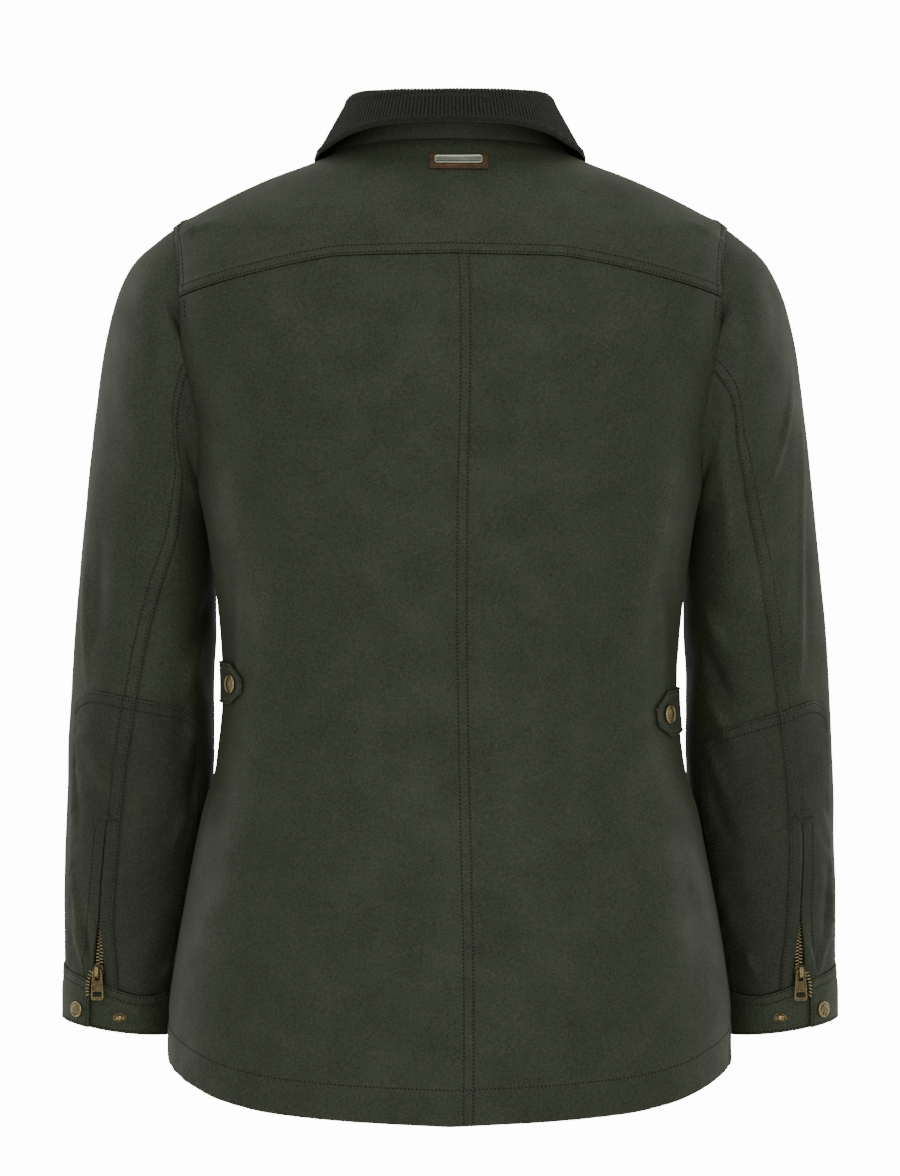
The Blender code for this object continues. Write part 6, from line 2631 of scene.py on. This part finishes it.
@dataclass
class WaistTab:
    """A waist tab sewn into the side seam, with its snap cap."""

    side: Side
    form: BodyForm
    wardrobe: Wardrobe
    corner_share: float = 0.72
    top_cut: float = 12.5
    bottom_cut: float = 10.5
    seam_inset: float = 2.0
    lift: float = 0.9
    thickness: float = 1.8
    stitch_inset: float = 2.0
    snap_share: float = 0.74
    cap_scale: float = 1.2
    edge: tuple[float, ...] = (0.0, 0.4, 0.9, 1.5, 2.1, 2.7, 3.4, 4.2)

    def surface(self, s: float, t: float) -> Vector:
        """A point of the back panel under the tab.

        Args:
            s: 0 at the side seam and 1 at the tab's tip.
            t: 0 at its lower edge and 1 at its upper edge.

        Returns:
            The point in metres.
        """
        shape = WAIST_TABS[self.side]
        cut = max(0.0, (s - self.corner_share) / (1.0 - self.corner_share))
        low = mix(shape.seam_bottom, shape.point_bottom, s) + self.bottom_cut * cut
        high = mix(shape.seam_top, shape.point_top, s) - self.top_cut * cut
        height = mix(low, high, t)
        seam = self.form.side_seam[self.side.word](height) - self.seam_inset
        return self.form.point(self.side.value * mix(seam, shape.point_angle, s), height)

    def build(self) -> None:
        """Build the tab, its stitching and its snap."""
        word = self.side.word
        tab = Cloth(
            f"waist_tab_{word}_cloth", self.surface, Vector((self.side.value, 0.5, 0.0)),
            GridLines((0.0, 1.0, 2.4), self.edge, 1.4), GridLines(self.edge, self.edge, 1.6),
            thickness=self.thickness, lift=self.lift + self.thickness, extra=self.rolled,
            shading=self.light_rim, tone=0.9)
        tab.make(self.wardrobe.waxed, f"waist_tab_{word}", "waxed_cotton", (f"back_panel_{word}_cloth",),
                 "folded")
        sewing = Sewing(f"waist_tab_sewing_{word}", pitch=2.9)
        for edge in (Edge.LOW, Edge.END, Edge.HIGH):
            sewing.sew_edge(tab, edge, self.stitch_inset)
        sewing.finish(self.wardrobe.thread, self.wardrobe.dint)
        self.snap()

    def snap(self) -> None:
        """The snap cap near the tab's tip."""
        step = self.surface(self.snap_share + 0.05, 0.5) - self.surface(self.snap_share - 0.05, 0.5)
        normal = step.cross(Vector((0, 0, 1))).normalized()
        if normal.y < 0.0:
            normal.negate()
        lifted = self.surface(self.snap_share, 0.5) + normal * (self.lift + self.thickness + 0.3) * MM
        place = Matrix.Translation(lifted) @ normal.to_track_quat("Z", "Y").to_matrix().to_4x4()
        cap = Hardware(f"waist_snap_{self.side.word}_cap")
        SnapCap().add_to(cap, place @ Matrix.Diagonal((self.cap_scale, self.cap_scale, 1.0, 1.0)))
        cap.finish(self.wardrobe.metals, f"waist_snap_{self.side.word}")

    def rolled(self, spot: Spot) -> float:
        """The rolled edges and the groove of the stitching.

        Args:
            spot: the place.

        Returns:
            mm out.
        """
        away = spot.away(Edge.END, Edge.LOW, Edge.HIGH)
        rolled = 0.7 * bell(away - 0.9, 0.8) - 0.5 * (1.0 - ease(away / 0.7)) - 0.6 * bell(away - 2.1, 0.6)
        return rolled - 2.3 * (1.0 - ease((spot.start + 0.5) / 5.0))

    def light_rim(self, spot: Spot) -> float:
        """Painted highlights along the rolled edge, where the wax also rubs lighter, and along a line 3.5 mm
        in, with painted shade in the stitching's groove.
        """
        away = spot.away(Edge.END, Edge.LOW, Edge.HIGH)
        return 1.0 + 0.9 * bell(away - 0.8, 0.9) - 0.35 * bell(away - 2.1, 0.6) + 0.6 * bell(away - 3.5, 0.8)


@dataclass
class CuffTrim:
    """A cuff's zip, slider, pull tab, snap cap and open stud."""

    form: SleeveForm
    wardrobe: Wardrobe
    hardware: ZipHardware = field(default_factory=ZipHardware)
    tape_half_width: float = 7.0
    tape_end: float = 12.95
    slider_station: float = 12.80
    slider_lift: float = 0.1
    axis_height: float = 3.7
    snap_angle: float = 43.0
    snap_station: float = 13.68
    stud_angle: float = 87.0
    stud_station: float = 13.66
    lap_lift: float = 3.0
    snap_lift: float = 0.3

    def build(self) -> None:
        """Build the trim."""
        self.tape()
        self.teeth()
        self.slider_and_pull()
        self.snap_and_stud()

    def frame(self, station: float, lift: float = 0.0) -> Matrix:
        """The zip's frame.

        Args:
            station: the sleeve's section.
            lift: mm off the sleeve.

        Returns:
            The matrix.
        """
        form = self.form
        above, here, below = (
            form.point(form.seam_angle(place), place) for place in (station - 0.1, station, station + 0.1))
        normal = form.normal(form.seam_angle(station), station)
        return frame_of(here + normal * lift * MM, below - above, normal)

    def tape(self) -> None:
        """The tape under the slit."""
        form, word = self.form, self.form.side.word

        def surface(s: float, t: float) -> Vector:
            """A point of the sleeve under the tape."""
            station = mix(form.slit_top, self.tape_end, t)
            seam = form.seam_angle(station)
            turn = seam + form.degrees(seam, station, (s - 0.5) * 2.0 * self.tape_half_width)
            return form.point(turn, station)

        tape = Cloth(
            f"cuff_zip_{word}_tape", surface, form.normal(form.seam_angle(12.0), 12.0),
            GridLines(PLAIN_EDGE, PLAIN_EDGE, 2.0), GridLines(PLAIN_EDGE, PLAIN_EDGE, 3.0), thickness=1.0,
            lift=-2.2)
        tape.make(self.wardrobe.tape, f"cuff_zip_{word}", "zip_tape", (f"sleeve_inner_{word}_cloth",))

    def teeth(self) -> None:
        """The closed rows above the slider and the open row that curls away beside it."""
        piece = Hardware(f"cuff_zip_{self.form.side.word}_teeth")
        path = [self.frame(mix(self.form.slit_top + 0.02, self.slider_station - 0.06, i / 40), -1.1)
                for i in range(41)]
        for side in (-1, 1):
            self.hardware.add_teeth(piece, path, side)
        away = self.form.side.value
        origin = self.frame(self.slider_station, -0.4)
        loose = []
        for i in range(9):
            u = i / 8
            shift = Vector((away * (6.4 + 2.8 * math.sin(u * 2.2)), 2.0 + 19.0 * u, 2.1 + 1.2 * u)) * MM
            loose.append(origin @ Matrix.Translation(shift) @ Matrix.Rotation(-away * (0.5 - u), 4, "Z"))
        self.hardware.add_teeth(piece, loose, -1, 0.0)
        piece.finish(self.wardrobe.metals)

    def slider_and_pull(self) -> None:
        """The slider on its chain and the pull tab that hangs from it."""
        word, metals = self.form.side.word, self.wardrobe.metals
        self.hardware.make_slider(f"cuff_slider_{word}", self.frame(self.slider_station, self.slider_lift),
                                  metals)
        frame = self.frame(self.slider_station)
        normal = frame.to_3x3() @ Vector((0, 0, 1))
        place = frame_of(frame.translation + normal * self.axis_height * MM, Vector((0, 0, -1)),
                         Vector((normal.x, normal.y, 0.0)))
        self.hardware.make_pull(f"cuff_pull_{word}", place, metals)

    def snap_and_stud(self) -> None:
        """The snap cap on the lap and the open stud beside it."""
        for shape, name, turn, station, lift in (
                (SnapCap(), "snap", self.snap_angle, self.snap_station, self.lap_lift + self.snap_lift),
                (Stud(), "stud", self.stud_angle, self.stud_station, self.snap_lift)):
            node = f"cuff_{name}_{self.form.side.word}"
            normal = self.form.normal(turn, station)
            point = self.form.point(turn, station) + normal * lift * MM
            piece = Hardware(f"{node}_metal")
            shape.add_to(piece, frame_of(point, Vector((0, 0, -1)), normal))
            piece.finish(self.wardrobe.metals, node)


@dataclass
class FrontZip:
    """The closed zip at the centre front: tape, teeth, slider and pull tab."""

    form: BodyForm
    wardrobe: Wardrobe
    hardware: ZipHardware = field(default_factory=ZipHardware)
    half_width: float = 7.0
    slider_height: float = -84.0
    slider_lift: float = 0.1
    axis_height: float = 3.7

    def frame(self, height: float, lift: float) -> Matrix:
        """The zip's frame.

        Args:
            height: mm up.
            lift: mm off the fronts.

        Returns:
            The matrix.
        """
        point = self.form.point(180.0, height)
        down = self.form.point(180.0, height - 20.0) - point
        normal = self.form.normal(180.0, height)
        normal = (normal - down.normalized() * normal.dot(down.normalized())).normalized()
        return frame_of(point + normal * lift * MM, down, normal)

    def build(self) -> None:
        """Build the zip."""
        form, metals = self.form, self.wardrobe.metals
        top = form.neck(180.0) - 1.0
        hem = form.hem(180.0) + 2.0

        def surface(s: float, t: float) -> Vector:
            """A point of the fronts under the tape."""
            height = mix(hem, top, t)
            across = form.degrees(180.0, height, (s - 0.5) * 2.0 * self.half_width)
            return form.point(180.0 + across, height)

        tape = Cloth("front_zip_tape", surface, Vector((0, -1, 0)), GridLines(PLAIN_EDGE, PLAIN_EDGE, 2.4),
                     GridLines(PLAIN_EDGE, PLAIN_EDGE, 6.0), thickness=1.0, lift=-2.2)
        tape.make(self.wardrobe.tape, "front_zip", "zip_tape",
                  ("front_panel_left_cloth", "front_panel_right_cloth"))
        teeth = Hardware("front_zip_teeth")
        path = [self.frame(mix(top - 4.0, hem + 4.0, i / 120), -1.1) for i in range(121)]
        for side in (-1, 1):
            self.hardware.add_teeth(teeth, path, side)
        teeth.finish(metals)
        self.hardware.make_slider("front_slider", self.frame(self.slider_height, self.slider_lift), metals)
        self.hardware.make_pull("front_pull", self.frame(self.slider_height, self.axis_height), metals)


# ------------------------------------------------------------------ studio

@dataclass
class Studio:
    """Pale floor, soft light all round, and the camera straight behind the jacket."""

    camera_distance: float = 12.0
    middle_height: float = -0.350
    front_of_jacket: float = 0.05
    frame_height: float = 0.9408
    sensor: float = 36.0
    floor_height: float = -0.93
    floor_radius: float = 2.4
    surround_light: float = 0.62
    surround_seen: float = 14.0

    def build(self) -> None:
        """Build floor, world, lights and camera."""
        self.floor()
        self.world()
        self.light("key_light", (-1.2, 3.2, 1.9), (1.8, 1.8), 15.0)
        self.light("front_light", (0.2, 5.0, 0.2), (3.0, 2.4), 36.0)
        self.light("left_edge_light", (2.6, -1.3, 0.5), (0.8, 2.4), 16.0)
        self.light("right_edge_light", (-2.6, -1.3, 0.5), (0.8, 2.4), 16.0)
        self.light("top_light", (0.0, 0.2, 2.4), (2.0, 1.2), 12.0)
        self.camera()

    def floor(self) -> None:
        """A round floor below the hem."""
        form = bmesh.new()
        bmesh.ops.create_circle(form, cap_ends=True, segments=96, radius=self.floor_radius)
        bmesh.ops.translate(form, verts=form.verts[:], vec=(0.0, 0.0, self.floor_height))
        new_piece("studio_floor", form, [StudioFloor().make()])

    def world(self) -> None:
        """An even surround, white to the camera and softer on the jacket."""
        world = bpy.data.worlds.new("studio")
        world.use_nodes = True
        tree = world.node_tree
        background = tree.nodes["Background"]
        background.inputs["Color"].default_value = srgb("#ffffff")
        seen = add_node(tree, "LightPath", output="Is Camera Ray")
        strength = add_node(tree, "MapRange", {
            "Value": seen, "To Min": self.surround_light, "To Max": self.surround_seen})
        tree.links.new(strength, background.inputs["Strength"])
        bpy.context.scene.world = world

    def light(self, name: str, place: tuple[float, float, float], size: tuple[float, float],
              power: float) -> None:
        """One soft box aimed at the middle of the jacket.

        Args:
            name: the light's name.
            place: where it stands, in metres.
            size: its width and height in metres.
            power: watts.
        """
        data = bpy.data.lights.new(name, "AREA")
        data.shape = "RECTANGLE"
        data.size, data.size_y = size
        data.energy = power
        lamp = bpy.data.objects.new(name, data)
        lamp.location = place
        aim = Vector((0.0, 0.0, self.middle_height)) - Vector(place)
        lamp.rotation_euler = aim.to_track_quat("-Z", "Y").to_euler()
        bpy.context.scene.collection.objects.link(lamp)

    def camera(self) -> None:
        """The camera, level and far off, framed as the photo."""
        data = bpy.data.cameras.new("camera")
        data.sensor_fit = "VERTICAL"
        data.sensor_height = self.sensor
        data.lens = self.sensor * (self.camera_distance - self.front_of_jacket) / self.frame_height
        data.clip_end = 100.0
        camera = bpy.data.objects.new("camera", data)
        camera.location = (0.0, self.camera_distance, self.middle_height)
        camera.rotation_euler = (math.pi / 2, 0.0, math.pi)
        bpy.context.scene.collection.objects.link(camera)
        bpy.context.scene.camera = camera


def main() -> None:
    """Load the frame, build the jacket on it and light it."""
    logging.basicConfig(level=logging.INFO, format="%(name)s %(message)s")
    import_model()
    wardrobe = Wardrobe()
    body = BodyForm()
    Studio().build()
    BodyShell(body, wardrobe).build()
    for side in Side:
        Sleeve(SleeveForm(side, body), wardrobe).build()
    Collar(CollarForm(body), wardrobe).build()
    Label(body, wardrobe).build()
    for side in Side:
        WaistTab(side, body, wardrobe).build()
        CuffTrim(SleeveForm(side, body), wardrobe).build()
    FrontZip(body, wardrobe).build()


if __name__ == "__main__":
    main()
